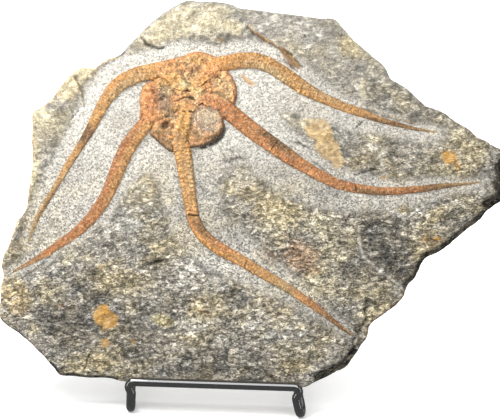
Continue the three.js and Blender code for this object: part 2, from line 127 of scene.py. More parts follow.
class Tone(Enum):
    """Colours of the rock, its stains and the fossil, as red, green and blue from 0 to 255; the two darkest
    serve mostly as painted shade, in cracks, under the disc's rim and on the slopes of the slab's rim, and
    also for dark flecks.
    """

    PREPARED = (206, 202, 192)
    PALE = (216, 213, 205)
    CREAM = (200, 189, 158)
    GREY = (146, 142, 133)
    SLATE = (88, 85, 80)
    KHAKI = (170, 155, 118)
    OLIVE = (126, 120, 92)
    STRAW = (196, 182, 130)
    SAND = (200, 175, 128)
    TAN = (192, 162, 112)
    RUST = (158, 112, 66)
    BROWN = (104, 80, 56)
    AMBER = (194, 146, 70)
    SHADOW = (40, 35, 30)
    # painted shade on the rim's slopes that face away from the light
    DEEP_SHADE = (16, 13, 11)
    GOLD = (204, 153, 92)
    HONEY = (210, 150, 84)
    ORANGE = (202, 138, 84)
    BRICK = (182, 118, 70)
    UMBER = (134, 98, 62)
    BUFF = (198, 164, 116)

    @property
    def linear(self) -> Array:
        """The colour as light, from 0 to 1."""
        return to_linear(self.value)

    def sheet(self, shape: tuple[int, ...]) -> Array:
        """Lays the colour everywhere."""
        return np.broadcast_to(self.linear, (*shape, 3))

    def over(self, tint: Array, share: Array) -> Array:
        """Lays the colour over others by a share at each place."""
        return mix(tint, self.linear, share)

    def wash(self, tint: Array, cover: Array, low: float, high: float, strength: float | Array) -> Array:
        """Lays the colour over others where cover rises from low to high, up to a strength."""
        return self.over(tint, ease(cover, low, high) * strength)


(
    PREPARED, PALE, CREAM, GREY, SLATE, KHAKI, OLIVE, STRAW, SAND, TAN, RUST, BROWN, AMBER, SHADOW, DEEP_SHADE,
    GOLD, HONEY, ORANGE, BRICK, UMBER, BUFF,
) = Tone


def to_linear(colour: tuple[int, int, int]) -> Array:
    """Turns a screen colour from 0 to 255 into light from 0 to 1."""
    share = np.asarray(colour, float) / 255.0
    return np.where(share <= 0.04045, share / 12.92, ((share + 0.055) / 1.055) ** 2.4)


def ease(value: Array, low: float | Array, high: float | Array) -> Array:
    """Eases from 0 at low to 1 at high."""
    share = np.clip((value - low) / (high - low), 0.0, 1.0)
    return share * share * (3.0 - 2.0 * share)


def waves(u: Array, v: Array, rate: float = 1.0) -> Array:
    """Sums the slow waves, run through at a rate."""
    return sum(size * np.sin(ku * u * rate + kv * v * rate + phase) for ku, kv, phase, size in WAVES)


def split_beds(surface: Array, bed: float, low: float, high: float) -> Array:
    """Splits a surface into beds, with a riser between two shares of each."""
    level = np.floor(surface / bed)
    return bed * (level + ease(surface / bed - level, low, high))


def bell(away: Array, width: float | Array) -> Array:
    """Falls from 1 at zero to a third at a width."""
    return np.exp(-((away / width) ** 2))


def mix(a: Array, b: Array, share: Array) -> Array:
    """Mixes two colours, or a colour and a field of colours, by a share at each place."""
    return a + (b - a) * share[..., None]


class Grain:
    """Repeatable smooth noise over a plane."""

    def __init__(self, seed: int) -> None:
        """Draws the lattice that the noise is made from.

        Args:
            seed: Fixed start of the random draw.
        """
        draw = np.random.default_rng(seed)
        self.table = draw.permutation(256)
        angle = draw.uniform(0.0, 2.0 * math.pi, 256)
        self.slope = np.stack([np.cos(angle), np.sin(angle)], axis=-1)

    def at(self, u: Array, v: Array) -> Array:
        """Reads the noise.

        Args:
            u, v: Places across and up.

        Returns:
            Noise of about -1 to 1, with features about 1 wide.
        """
        column, row = np.floor(u).astype(int), np.floor(v).astype(int)
        du, dv = u - column, v - row
        ease_u = du**3 * (du * (du * 6 - 15) + 10)
        ease_v = dv**3 * (dv * (dv * 6 - 15) + 10)

        def corner(i: int, j: int) -> Array:
            """Reads the slope at one corner of the lattice."""
            slope = self.slope[self.table[(self.table[(column + i) & 255] + row + j) & 255]]
            return slope[..., 0] * (du - i) + slope[..., 1] * (dv - j)

        low = corner(0, 0) + (corner(1, 0) - corner(0, 0)) * ease_u
        high = corner(0, 1) + (corner(1, 1) - corner(0, 1)) * ease_u
        return (low + (high - low) * ease_v) * 1.5

    def rough(
        self, u: Array, v: Array, size: float, octaves: int = 4, stretch: float = 1.0, turn: float = 0.0
    ) -> Array:
        """Sums finer and finer noise.

        Args:
            u, v: Places across and up.
            size: Width of the broadest feature in millimetres.
            octaves: How many times the noise is halved in size and added.
            stretch: How much longer a feature is than wide.
            turn: Direction that features are drawn out in, in radians.

        Returns:
            Noise of about -1 to 1.
        """
        along = (u * math.cos(turn) + v * math.sin(turn)) / (size * stretch)
        across = (v * math.cos(turn) - u * math.sin(turn)) / size
        total = np.zeros_like(along)
        for octave in range(octaves):
            rate = 2**octave
            total += self.at(along * rate + 17.3 * octave, across * rate - 9.1 * octave) / rate
        return total / 1.6


@dataclass(frozen=True)
class SlabFrame:
    """Where the slab's own frame lies in the part.

    Attributes:
        x: Place of u = 0 along the part's X, in millimetres.
        y: Place of the face's bottom edge along the part's Y, in millimetres.
    """

    x: float
    y: float

    @classmethod
    def from_stand(cls) -> "SlabFrame":
        """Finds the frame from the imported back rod, whose toes mark the stand's middle and depth.

        Returns:
            The frame.
        """
        low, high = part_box("stand_back_rod")
        middle = (low.x + high.x) / 2 / MM
        return cls(middle - STAND_CENTRE_U, high.y / MM - PROP_FOOT_Y - PROP_TOE)

    def to_part(self, places: Array) -> Array:
        """Turns slab places into the part's frame.

        Args:
            places: Rows of (u, v, w) in millimetres.

        Returns:
            Rows of (x, y, z) in metres.
        """
        u, v, w = np.asarray(places, float).T
        across = u * math.cos(TURN) - v * math.sin(TURN)
        up = u * math.sin(TURN) + v * math.cos(TURN)
        y = self.y + up * math.sin(LEAN) - w * math.cos(LEAN)
        z = SLAB_BOTTOM + up * math.cos(LEAN) + w * math.sin(LEAN)
        return np.stack([self.x + across, y, z], axis=-1) * MM

    def stand_to_part(self, places: Array) -> Array:
        """Turns the stand's places, in millimetres from its middle, into metres in the part's frame."""
        return (np.asarray(places, float) + [self.x + STAND_CENTRE_U, self.y, 0.0]) * MM


# ---- Meshes ----


def line_distance(u: Array, v: Array, line: Array) -> tuple[Array, Array, Array]:
    """Finds how far places lie from a line of straight pieces.

    Args:
        u, v: Places across and up.
        line: Rows of (u, v).

    Returns:
        The distance, less than zero on the right of the line, the place along the line as a count of its
        points, and the length run along it.
    """
    nearest = np.full(np.shape(u), np.inf)
    signed, station, run = np.zeros_like(nearest), np.zeros_like(nearest), np.zeros_like(nearest)
    passed = 0.0
    for k, ((au, av), (bu, bv)) in enumerate(zip(line[:-1], line[1:])):
        du, dv = bu - au, bv - av
        length = math.hypot(du, dv)
        share = np.clip(((u - au) * du + (v - av) * dv) / length**2, 0.0, 1.0)
        away = np.hypot(u - au - share * du, v - av - share * dv)
        side = np.where(du * (v - av) - dv * (u - au) >= 0, 1.0, -1.0)
        closer = away < nearest
        nearest = np.where(closer, away, nearest)
        signed = np.where(closer, side * away, signed)
        station = np.where(closer, k + share, station)
        run = np.where(closer, passed + share * length, run)
        passed += length
    return signed, station, run


def smooth_line(points: Array, step: float, closed: bool = False) -> Array:
    """Runs an even centripetal curve through points.

    Args:
        points: Rows of coordinates.
        step: Distance between the places returned, measured on the first two coordinates.
        closed: Whether the curve comes back to its start.

    Returns:
        Rows of coordinates, evenly spaced, without a repeat of the first on a closed curve.
    """
    points = np.asarray(points, float)
    if closed:
        knots = np.vstack([points[-1:], points, points[:2]])
    else:
        knots = np.vstack([2 * points[:1] - points[1:2], points, 2 * points[-1:] - points[-2:-1]])
    dense = []
    share = np.linspace(0.0, 1.0, SPAN_PARTS, endpoint=False)[:, None]
    for p0, p1, p2, p3 in zip(knots[:-3], knots[1:-2], knots[2:-1], knots[3:]):
        d0, d1, d2 = (max(math.sqrt(np.linalg.norm(b - a)), 1e-4) for a, b in ((p0, p1), (p1, p2), (p2, p3)))
        t1 = ((p1 - p0) / d0 - (p2 - p0) / (d0 + d1) + (p2 - p1) / d1) * d1
        t2 = ((p2 - p1) / d1 - (p3 - p1) / (d1 + d2) + (p3 - p2) / d2) * d1
        c2, c3 = 3 * (p2 - p1) - 2 * t1 - t2, 2 * (p1 - p2) + t1 + t2
        dense.append(p1 + t1 * share + c2 * share**2 + c3 * share**3)
    dense = np.vstack(dense + [knots[-2:-1]])
    run = np.concatenate([[0.0], np.cumsum(np.hypot(*np.diff(dense[:, :2], axis=0).T))])
    count = max(2, round(run[-1] / step))
    wanted = np.linspace(0.0, run[-1], count + 1)[: count if closed else count + 1]
    return np.stack([np.interp(wanted, run, column) for column in dense.T], axis=-1)


def inside_and_depth(points: Array, loop: Array) -> tuple[Array, Array]:
    """Tells which points are inside a closed loop, and how far each is from it.

    Args:
        points: Rows of (u, v).
        loop: Rows of (u, v), without a repeat of the first.

    Returns:
        Whether each point is inside, and its distance to the loop.
    """
    inside = np.zeros(len(points), bool)
    depth = np.zeros(len(points))
    a, b = loop, np.roll(loop, -1, axis=0)
    edge = b - a
    square = (edge**2).sum(axis=1)
    for start in range(0, len(points), BATCH):
        batch = slice(start, start + BATCH)
        p = points[batch, None, :]
        offset = p - a
        share = np.clip((offset * edge).sum(axis=2) / square, 0.0, 1.0)
        gap = offset - share[..., None] * edge
        depth[batch] = np.sqrt((gap**2).sum(axis=2).min(axis=1))
        crosses = (a[:, 1] > p[..., 1]) != (b[:, 1] > p[..., 1])
        rise = np.where(edge[:, 1] == 0, 1e-9, edge[:, 1])
        at = a[:, 0] + (p[..., 1] - a[:, 1]) / rise * edge[:, 0]
        inside[batch] = (crosses & (p[..., 0] < at)).sum(axis=1) % 2 == 1
    return inside, depth


def fill_loop(loop: Array, cell: float, seed: int) -> tuple[Array, Array, Array]:
    """Covers the inside of a loop with triangles of about one size.

    Args:
        loop: Rows of (u, v), counterclockwise.
        cell: Distance between neighbouring points.
        seed: Fixed start of the small random shifts that hide the rows.

    Returns:
        Points with the loop first, counterclockwise triangles, and each point's distance to the loop.
    """
    draw = np.random.default_rng(seed)
    low, high = loop.min(axis=0), loop.max(axis=0)
    rows = np.arange(low[1], high[1], cell * ROW_HEIGHT)
    columns = np.arange(low[0], high[0], cell)
    u, v = np.meshgrid(columns, rows)
    u = u + (np.arange(len(rows)) % 2)[:, None] * cell / 2
    grid = np.stack([u.ravel(), v.ravel()], axis=-1)
    grid += draw.uniform(-SHAKE, SHAKE, grid.shape) * cell
    inside, depth = inside_and_depth(grid, loop)
    kept = inside & (depth > cell * RIM_CLEARANCE)
    points = np.vstack([loop, grid[kept]])
    count = len(loop)
    edges = [(k, (k + 1) % count) for k in range(count)]
    found, _, faces, origins, _, _ = delaunay_2d_cdt([Vector(p) for p in points.tolist()], edges, [], 1, 1e-7)
    source = np.array([o[0] for o in origins])
    if len(found) != len(points):
        raise ValueError(f"the loop gained {len(found) - len(points)} points")
    triangles = source[np.array(faces)]
    a, b, c = (points[triangles[:, k]] for k in range(3))
    area = (b[:, 0] - a[:, 0]) * (c[:, 1] - a[:, 1]) - (b[:, 1] - a[:, 1]) * (c[:, 0] - a[:, 0])
    triangles[area < 0] = triangles[area < 0][:, ::-1]
    return points, triangles, np.concatenate([np.zeros(count), depth[kept]])


def close_plate(
    front: Array, front_faces: Array, rings: Array, back: Array, back_faces: Array
) -> tuple[Array, Array]:
    """Joins a front, the rings of a wall and a back into one closed surface.

    Args:
        front: Places of the front, with its loop first, counterclockwise.
        front_faces: Its triangles.
        rings: Rings of the wall between the two, each as long as the loop.
        back: Places of the back, with its loop first.
        back_faces: Its triangles, counterclockwise from the front.

    Returns:
        Places and triangles.
    """
    size = rings.shape[1]
    places = np.vstack([front, rings.reshape(-1, 3), back])
    starts = [0] + [len(front) + k * size for k in range(len(rings) + 1)]
    k = np.arange(size)
    after = (k + 1) % size
    faces = [front_faces, back_faces[:, ::-1] + starts[-1]]
    for top, low in zip(starts[:-1], starts[1:]):
        faces.append(np.stack([top + k, low + k, low + after], axis=-1))
        faces.append(np.stack([top + k, low + after, top + after], axis=-1))
    return places, np.vstack(faces)


def new_object(name: str, data: bpy.types.ID) -> Piece:
    """Adds an object to the scene, at the origin.

    Args:
        name: Its name.
        data: Its mesh, light or camera.

    Returns:
        The object.
    """
    made = bpy.data.objects.new(name, data)
    bpy.context.scene.collection.objects.link(made)
    return made


def make_mesh(name: str, places: Array, faces: Array, values: Values) -> Piece:
    """Makes a smooth shaded object at the origin.

    Args:
        name: Name of the piece.
        places: Rows of (x, y, z) in metres.
        faces: Rows of three vertex numbers.
        values: A value or a colour for each vertex, by name.

    Returns:
        The new object.
    """
    mesh = bpy.data.meshes.new(name)
    mesh.from_pydata(places.tolist(), [], faces.tolist())
    mesh.update()
    mesh.shade_smooth()
    set_values(mesh, values)
    return new_object(name, mesh)


def set_values(mesh: bpy.types.Mesh, values: Values) -> None:
    """Stores a value or a colour for each vertex of a mesh.

    Args:
        mesh: The mesh.
        values: One array for each name: single values, or rows of red, green and blue.
    """
    for name, data in values.items():
        if data.ndim == 2:
            whole = np.hstack([np.clip(data, 0.0, 1.0), np.ones((len(data), 1))])
            mesh.attributes.new(name, "FLOAT_COLOR", "POINT").data.foreach_set("color", whole.ravel())
        else:
            mesh.attributes.new(name, "FLOAT", "POINT").data.foreach_set("value", data.astype(np.float32))


def read_places(mesh: bpy.types.Mesh) -> Array:
    """Reads where a mesh's vertices are.

    Args:
        mesh: The mesh.

    Returns:
        Rows of (x, y, z).
    """
    places = np.zeros(len(mesh.vertices) * 3)
    mesh.vertices.foreach_get("co", places)
    return places.reshape(-1, 3)


def plain_copy(source: Piece, name: str) -> Piece:
    """Turns an object with modifiers into a plain mesh, and removes the object that it came from.

    Args:
        source: The object, at the origin.
        name: Name of the piece that is made.

    Returns:
        A new object with no modifiers.
    """
    graph = bpy.context.evaluated_depsgraph_get()
    mesh = bpy.data.meshes.new_from_object(source.evaluated_get(graph), depsgraph=graph)
    mesh.name = name
    mesh.materials.clear()
    piece = new_object(name, mesh)
    old = source.data
    bpy.data.objects.remove(source)
    bpy.data.meshes.remove(old)
    return piece


def place_piece(piece: Piece, slot: str, *nodes: str) -> None:
    """Puts a finished piece in place of its solids and reports it.

    Args:
        piece: The finished piece, at the origin.
        slot: The record's material slot; not used.
        nodes: The solids that it stands for.
    """
    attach(piece, BODY)
    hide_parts(*nodes)
    piece.data.calc_loop_triangles()
    LOG.info("%s: %d triangles, in place of %s", piece.name, len(piece.data.loop_triangles), ", ".join(nodes))


# ---- Node trees ----


@dataclass
class Tree:
    """Writes a shader or geometry node tree in a few words.

    Attributes:
        tree: The tree that is written.
    """

    tree: NodeTree

    def add(self, kind: str, inputs: Inputs | None = None, **settings: object) -> bpy.types.Node:
        """Adds a node.

        Args:
            kind: The node's type name.
            inputs: A value or another node's output for each named or numbered input.
            settings: The node's own settings.

        Returns:
            The node.
        """
        node = self.tree.nodes.new(kind)
        for key, value in settings.items():
            setattr(node, key, value)
        self.feed_all(node, inputs or {})
        return node

    def feed_all(self, node: bpy.types.Node, inputs: Inputs) -> None:
        """Feeds a node's named or numbered inputs."""
        for key, value in inputs.items():
            self.feed(node.inputs[key], value)

    def feed(self, socket: Socket, value: object) -> None:
        """Links an output to an input, or sets the input's own value.

        Args:
            socket: The input.
            value: The output or the value.
        """
        if isinstance(value, Socket):
            self.tree.links.new(value, socket)
        else:
            socket.default_value = value

    def math(self, operation: str, a: object, b: object = 0.0) -> Socket:
        """Works out one operation on two values."""
        return self.add("ShaderNodeMath", {0: a, 1: b}, operation=operation).outputs[0]

    def product(self, *factors: object) -> Socket:
        """Multiplies values together."""
        return reduce(lambda a, b: self.math("MULTIPLY", a, b), factors)

    def total(self, *terms: object) -> Socket:
        """Adds values up."""
        return reduce(lambda a, b: self.math("ADD", a, b), terms)

    def between(self, share: object, a: object, b: object) -> Socket:
        """Mixes two values."""
        return self.add("ShaderNodeMix", {0: share, 2: a, 3: b}, data_type="FLOAT").outputs[0]

    def blend(self, share: object, a: object, b: object) -> Socket:
        """Mixes two colours."""
        return self.add("ShaderNodeMix", {0: share, 6: a, 7: b}, data_type="RGBA").outputs[2]

    def vector(self, operation: str, inputs: Inputs) -> Socket:
        """Works out one operation on vectors or colours."""
        return self.add("ShaderNodeVectorMath", inputs, operation=operation).outputs[0]

    def remap(self, value: object, low: float, high: float, to_low: float, to_high: float) -> Socket:
        """Stretches a range of values onto another, held at its ends."""
        node = self.add("ShaderNodeMapRange", {0: value, 1: low, 2: high, 3: to_low, 4: to_high})
        return node.outputs[0]

    def noise(self, vector: object, scale: float, detail: float, roughness: float = 0.55) -> Socket:
        """Adds a noise pattern with so many features to a millimetre."""
        inputs = {"Vector": vector, "Scale": scale, "Detail": detail, "Roughness": roughness}
        return self.add("ShaderNodeTexNoise", inputs).outputs[0]

    def flakes(self, vector: object, scale: float) -> Socket:
        """Gives each of so many cells to a millimetre a random value of its own."""
        cells = self.add("ShaderNodeTexVoronoi", {"Vector": vector, "Scale": scale}).outputs["Color"]
        return self.add("ShaderNodeSeparateColor", {0: cells}).outputs[0]

    def warped(self, vector: object, scale: float, reach: float) -> Socket:
        """Shakes coordinates about with noise, so that straight edges turn ragged.

        Args:
            vector: The coordinates.
            scale: How many bends the noise has to a millimetre.
            reach: How far it moves a place, in millimetres.

        Returns:
            The new coordinates.
        """
        inputs = {"Vector": vector, "Scale": scale, "Detail": 3.0}
        shake = self.add("ShaderNodeTexNoise", inputs).outputs["Color"]
        centred = self.vector("SUBTRACT", {0: shake, 1: (0.5, 0.5, 0.5)})
        return self.vector("ADD", {0: vector, 1: self.vector("SCALE", {0: centred, 3: reach})})

    def value(self, name: str) -> Socket:
        """Reads a value stored on the mesh."""
        return self.add("ShaderNodeAttribute", attribute_name=name).outputs["Fac"]

    def colour(self, name: str) -> Socket:
        """Reads a colour stored on the mesh."""
        return self.add("ShaderNodeAttribute", attribute_name=name).outputs["Color"]

    def slab_millimetres(self) -> Socket:
        """Turns a piece's own coordinates to lie along the slab's u, v and w.

        Returns:
            Coordinates in millimetres.
        """
        place = self.add("ShaderNodeTexCoord").outputs["Object"]
        turned = {"Vector": place, "Rotation": (LEAN - math.pi / 2, 0.0, -TURN), "Scale": (1 / MM,) * 3}
        return self.add("ShaderNodeMapping", turned).outputs[0]

    def drawn_out(self, vector: object, turn: float, stretch: float) -> Socket:
        """Turns coordinates in the slab's plane and draws the pattern out along them."""
        inputs = {"Vector": vector, "Rotation": (0.0, 0.0, -turn), "Scale": (1 / stretch, 1.0, 1.0)}
        return self.add("ShaderNodeMapping", inputs).outputs[0]

    def bumps(self, height: object, reach: float, strength: float) -> Socket:
        """Turns heights into bumps of so many millimetres."""
        inputs = {"Height": height, "Distance": reach * MM, "Strength": strength}
        return self.add("ShaderNodeBump", inputs).outputs[0]

    def stored(self, name: str, kind: str) -> Socket:
        """Reads a value stored on a geometry tree's line."""
        return self.add("GeometryNodeInputNamedAttribute", {"Name": name}, data_type=kind).outputs[0]

    def end(self, shape: Socket, finish: Socket) -> None:
        """Ends a geometry tree with plain geometry in its material.

        Args:
            shape: The geometry.
            finish: The material.
        """
        solid = self.add("GeometryNodeRealizeInstances", {"Geometry": shape}).outputs[0]
        done = self.add("GeometryNodeSetMaterial", {"Geometry": solid, "Material": finish}).outputs[0]
        self.feed(self.add("NodeGroupOutput").inputs[0], done)


def new_group(name: str, inputs: dict[str, str], output: str) -> Tree:
    """Starts a geometry tree.

    Args:
        name: Name of the tree.
        inputs: Kind of each named input.
        output: Name of its output.

    Returns:
        The tree.
    """
    group = bpy.data.node_groups.new(name, "GeometryNodeTree")
    for label, kind in inputs.items():
        group.interface.new_socket(label, in_out="INPUT", socket_type="NodeSocket" + kind)
    group.interface.new_socket(output, in_out="OUTPUT", socket_type="NodeSocketGeometry")
    return Tree(group)


def run_along(name: str, places: Array, values: Values, tree: Tree, inputs: Inputs) -> Piece:
    """Makes a line of edges and runs a geometry tree on it.

    Args:
        name: Name of the line.
        places: Its points in metres, as rows of (x, y, z).
        values: A value for each point, by name.
        tree: The geometry tree.
        inputs: What its named inputs are set to.

    Returns:
        The line, with the tree as its modifier.
    """
    mesh = bpy.data.meshes.new(name)
    mesh.from_pydata(places.tolist(), [(k, k + 1) for k in range(len(places) - 1)], [])
    set_values(mesh, values)
    line = new_object(name, mesh)
    modifier = line.modifiers.new("shape", "NODES")
    modifier.node_group = tree.tree
    items = tree.tree.interface.items_tree
    sockets = {item.name: item.identifier for item in items if item.in_out == "INPUT"}
    for label, value in inputs.items():
        modifier[sockets[label]] = value
    return line


def new_material(name: str) -> tuple[Material, Tree, bpy.types.Node]:
    """Starts a material.

    Args:
        name: Name of the material.

    Returns:
        The material, its tree and its surface shader.
    """
    material = bpy.data.materials.new(name)
    material.use_nodes = True
    nodes = material.node_tree.nodes
    return material, Tree(material.node_tree), nodes["Principled BSDF"]


@dataclass(frozen=True)
class RockFinish:
    """Mudstone: dull, flaky and gritty, whitened where an air tool has cut it.

    Attributes:
        grit: Width of a speck of the prepared ground in millimetres.
        grain: Height of the finest strokes of the natural rock in millimetres.
        chip: Height of its small hollows in millimetres.
        flake: Height of its thin flakes in millimetres.
        grain_turn: Direction that strokes and flakes are drawn out in, in degrees.
        stretch: How much longer than high they are.
        relief: Height of the grit in millimetres.
        ash: How pale grey the lightest splinters are, from 0 to 1.
    """

    grit: float = 0.5
    grain: float = 0.42
    chip: float = 1.05
    flake: float = 1.4
    grain_turn: float = 16.0
    stretch: float = 1.7
    relief: float = 0.5
    ash: float = 0.12

    def material(self) -> Material:
        """Builds the material, which reads the stored colour, ground, crust, and the painted shade of hollows
        and painted highlight of rises.

        Returns:
            The material.
        """
        material, tree, shader = new_material("mudstone")
        place = tree.slab_millimetres()
        drawn = tree.drawn_out(place, math.radians(self.grain_turn), self.stretch)
        ragged = tree.warped(drawn, 1.1, 1.3)
        prepared = tree.value("prepared")
        grains = tree.noise(drawn, 1 / self.grain, 2.0, 0.6)
        chips = tree.noise(drawn, 1 / self.chip, 4.0, 0.7)
        flakes = tree.flakes(ragged, 1 / self.flake)
        splinters = tree.flakes(ragged, 2.1 / self.flake)
        seams = tree.noise(ragged, 0.55 / self.flake, 4.0, 0.65)
        open_seam = tree.math("ABSOLUTE", tree.math("SUBTRACT", seams, 0.5))
        patches = tree.noise(place, 0.16, 4.0, 0.6)
        cells = tree.flakes(tree.warped(place, 1.6, 1.0), 1 / self.grit)
        dust = tree.noise(drawn, 0.8 / self.grit, 3.0, 0.8)
        specks = tree.total(tree.product(cells, 0.5), tree.product(dust, 0.5))
        lay = tree.add("ShaderNodeSeparateXYZ", {0: place}).outputs
        # The scraped ground: coarser low on the slab than high up.
        chipped = tree.remap(chips, 0.38, 0.62, 0.84, 1.16)
        coarse = tree.product(tree.remap(specks, 0.31, 0.69, 0.32, 1.44), chipped)
        fine = tree.remap(specks, 0.26, 0.74, 0.4, 1.22)
        salt = tree.between(tree.remap(lay[1], 50.0, 105.0, 1.0, 0.0), fine, coarse)
        # The split rock: splintered low down, and calmer towards its upper left.
        splintered = tree.product(
            tree.remap(grains, 0.36, 0.64, 0.5, 1.52), tree.remap(chips, 0.38, 0.62, 0.77, 1.23),
            tree.remap(flakes, 0.1, 0.9, 0.74, 1.26), tree.remap(splinters, 0.0, 1.0, 0.68, 1.28),
            # painted shade: the open seams are darkened
            tree.remap(open_seam, 0.01, 0.06, 0.38, 1.05),
        )
        calm = tree.remap(tree.math("SUBTRACT", lay[1], tree.product(lay[0], 0.25)), 60.0, 150.0, 0.0, 0.66)
        rock = tree.between(calm, splintered, tree.remap(specks, 0.3, 0.7, 0.72, 1.42))
        both = tree.between(tree.product(tree.value("crust"), 0.72), tree.between(prepared, rock, salt), 0.92)
        # painted shade in the hollows and painted highlight on the rises
        light = tree.product(both, tree.remap(tree.value("hollow_shade"), -1.0, 1.0, 0.42, 1.3))
        tint = tree.colour("tint")
        warm = tree.blend(tree.remap(patches, 0.42, 0.62, 0.0, 0.22), tint, (0.5, 0.42, 0.28, 1.0))
        ashen = tree.blend(tree.remap(splinters, 0.72, 0.86, 0.0, self.ash), warm, (0.52, 0.53, 0.5, 1.0))
        toned = tree.blend(prepared, ashen, tint)
        height = tree.total(
            tree.product(grains, 0.4), chips, tree.product(tree.total(flakes, splinters), 0.4),
            tree.remap(open_seam, 0.0, 0.06, 0.0, 0.5),
        )
        tree.feed_all(shader, {
            "Base Color": tree.vector("SCALE", {0: toned, 3: light}),
            "Roughness": tree.remap(grains, 0.3, 0.7, 0.98, 0.84),
            "Specular IOR Level": 0.2,
            "Normal": tree.bumps(tree.between(prepared, height, specks), self.relief, 0.9),
        })
        return material


@dataclass(frozen=True)
class FossilFinish:
    """Iron-stained calcite of the brittle star: granular, orange, and dull.

    Attributes:
        grit: Width of a crystal speck in millimetres.
        relief: Height of the specks in millimetres.
    """

    grit: float = 0.45
    relief: float = 0.4

    def material(self) -> Material:
        """Builds the material, which reads the stored colour and the painted shade and highlight of hollows
        and rises.

        Returns:
            The material.
        """
        material, tree, shader = new_material("orange_calcite")
        place = tree.slab_millimetres()
        cells = tree.flakes(tree.warped(place, 1.6, 0.8), 0.8 / self.grit)
        grains = tree.noise(place, 1 / self.grit, 3.0, 0.75)
        specks = tree.total(tree.product(grains, 0.75), tree.product(cells, 0.25))
        patches = tree.noise(place, 0.7, 3.0, 0.6)
        dust = tree.noise(place, 1.1, 4.0, 0.75)
        # painted shade in the hollows and painted highlight on the rises
        hollow_shade = tree.remap(tree.value("hollow_shade"), -1.0, 1.0, 0.42, 1.14)
        light = tree.product(tree.remap(specks, 0.34, 0.66, 0.46, 1.33), hollow_shade)
        stained = tree.remap(patches, 0.5, 0.66, 0.0, 0.5)
        brown = tree.blend(stained, tree.colour("tint"), (0.23, 0.13, 0.06, 1.0))
        dusty = tree.blend(tree.remap(dust, 0.5, 0.66, 0.0, 0.4), brown, (0.62, 0.52, 0.38, 1.0))
        height = tree.total(specks, tree.product(patches, 0.5))
        tree.feed_all(shader, {
            "Base Color": tree.vector("SCALE", {0: dusty, 3: light}),
            "Roughness": tree.remap(specks, 0.3, 0.7, 0.9, 0.68),
            "Specular IOR Level": 0.35,
            "Normal": tree.bumps(height, self.relief, 0.85),
        })
        return material


@dataclass(frozen=True)
class WireFinish:
    """Steel wire dipped in glossy black enamel.

    Attributes:
        colour: Screen colour of the enamel.
        dust: Screen colour of the dust on it.
        gloss: Its roughness where it is clean.
    """

    colour: tuple[int, int, int] = (9, 9, 11)
    dust: tuple[int, int, int] = (74, 72, 74)
    gloss: float = 0.1

    def material(self) -> Material:
        """Builds the material, with faint runs in the enamel and a little dust.

        Returns:
            The material.
        """
        material, tree, shader = new_material("black_enamel")
        place = tree.slab_millimetres()
        runs = tree.noise(place, 0.35, 3.0, 0.5)
        dust = tree.noise(place, 2.4, 4.0, 0.7)
        base, grey = ((*to_linear(colour), 1.0) for colour in (self.colour, self.dust))
        tree.feed_all(shader, {
            "Base Color": tree.blend(tree.remap(dust, 0.66, 0.8, 0.0, 0.2), base, grey),
            "Roughness": tree.remap(dust, 0.45, 0.8, self.gloss, self.gloss + 0.25),
            "Specular IOR Level": 0.5,
            "Coat Weight": 1.0,
            "Coat IOR": 2.6,
            "Coat Roughness": 0.08,
            "Normal": tree.bumps(runs, 0.25, 0.35),
        })
        return material


@dataclass(frozen=True)
class FloorFinish:
    """Matt white paper that the stand is shown on.

    Attributes:
        white: How much light the paper returns.
        glow: Light of its own behind the stand, where the background is lit.
    """

    white: float = 0.9
    glow: float = 0.5

    def material(self) -> Material:
        """Builds the material, with the faintest mottle of paper.

        Returns:
            The material.
        """
        material, tree, shader = new_material("white_paper")
        place = tree.add("ShaderNodeTexCoord").outputs["Object"]
        behind = tree.add("ShaderNodeSeparateXYZ", {0: place}).outputs[1]
        tree.feed_all(shader, {
            "Base Color": tree.remap(tree.noise(place, 40.0, 2.0), 0.3, 0.7, self.white - 0.01, self.white),
            "Roughness": 0.95,
            "Emission Color": (1.0, 1.0, 1.0, 1.0),
            "Emission Strength": tree.remap(behind, -0.12, 0.06, 0.0, self.glow),
        })
        return material


# ---- The arms' plan, which the face and the disc are fitted to ----


@dataclass(frozen=True)
class ArmPlan:
    """Where one arm lies, and how the rock and its colour change along it.

    Attributes:
        node: Name of the solid.
        stations: Root to tip, as (u, v, half width).
        margins: Prepared ground beside the arm, as (share of the length, on its left, on its right).
        tones: Its colours, as (share of the length, on its left, on its right), seen from the root.
        order: How plainly its plates stand in rows, from 0 to 1.
    """

    node: str
    stations: tuple[Triple, ...]
    margins: tuple[Triple, ...]
    tones: tuple[tuple[float, Tone, Tone], ...]
    order: float = 0.3

    def centre_line(self, step: float) -> Array:
        """Gives the smooth centre line as rows of (u, v, half width)."""
        return smooth_line(np.array(self.stations), step)

    def margins_at(self, share: Array) -> tuple[Array, Array]:
        """Reads the widths of the prepared ground on the left and the right."""
        table = np.array(self.margins)
        return np.interp(share, table[:, 0], table[:, 1]), np.interp(share, table[:, 0], table[:, 2])

    def root_corners(self) -> tuple[Array, Array]:
        """Finds the corners of the root.

        Returns:
            The one on the left of the arm, and the one on its right.
        """
        line = self.centre_line(0.5)
        along = line[1, :2] - line[0, :2]
        along /= np.linalg.norm(along)
        across = np.array([-along[1], along[0]]) * line[0, 2]
        return line[0, :2] + across, line[0, :2] - across


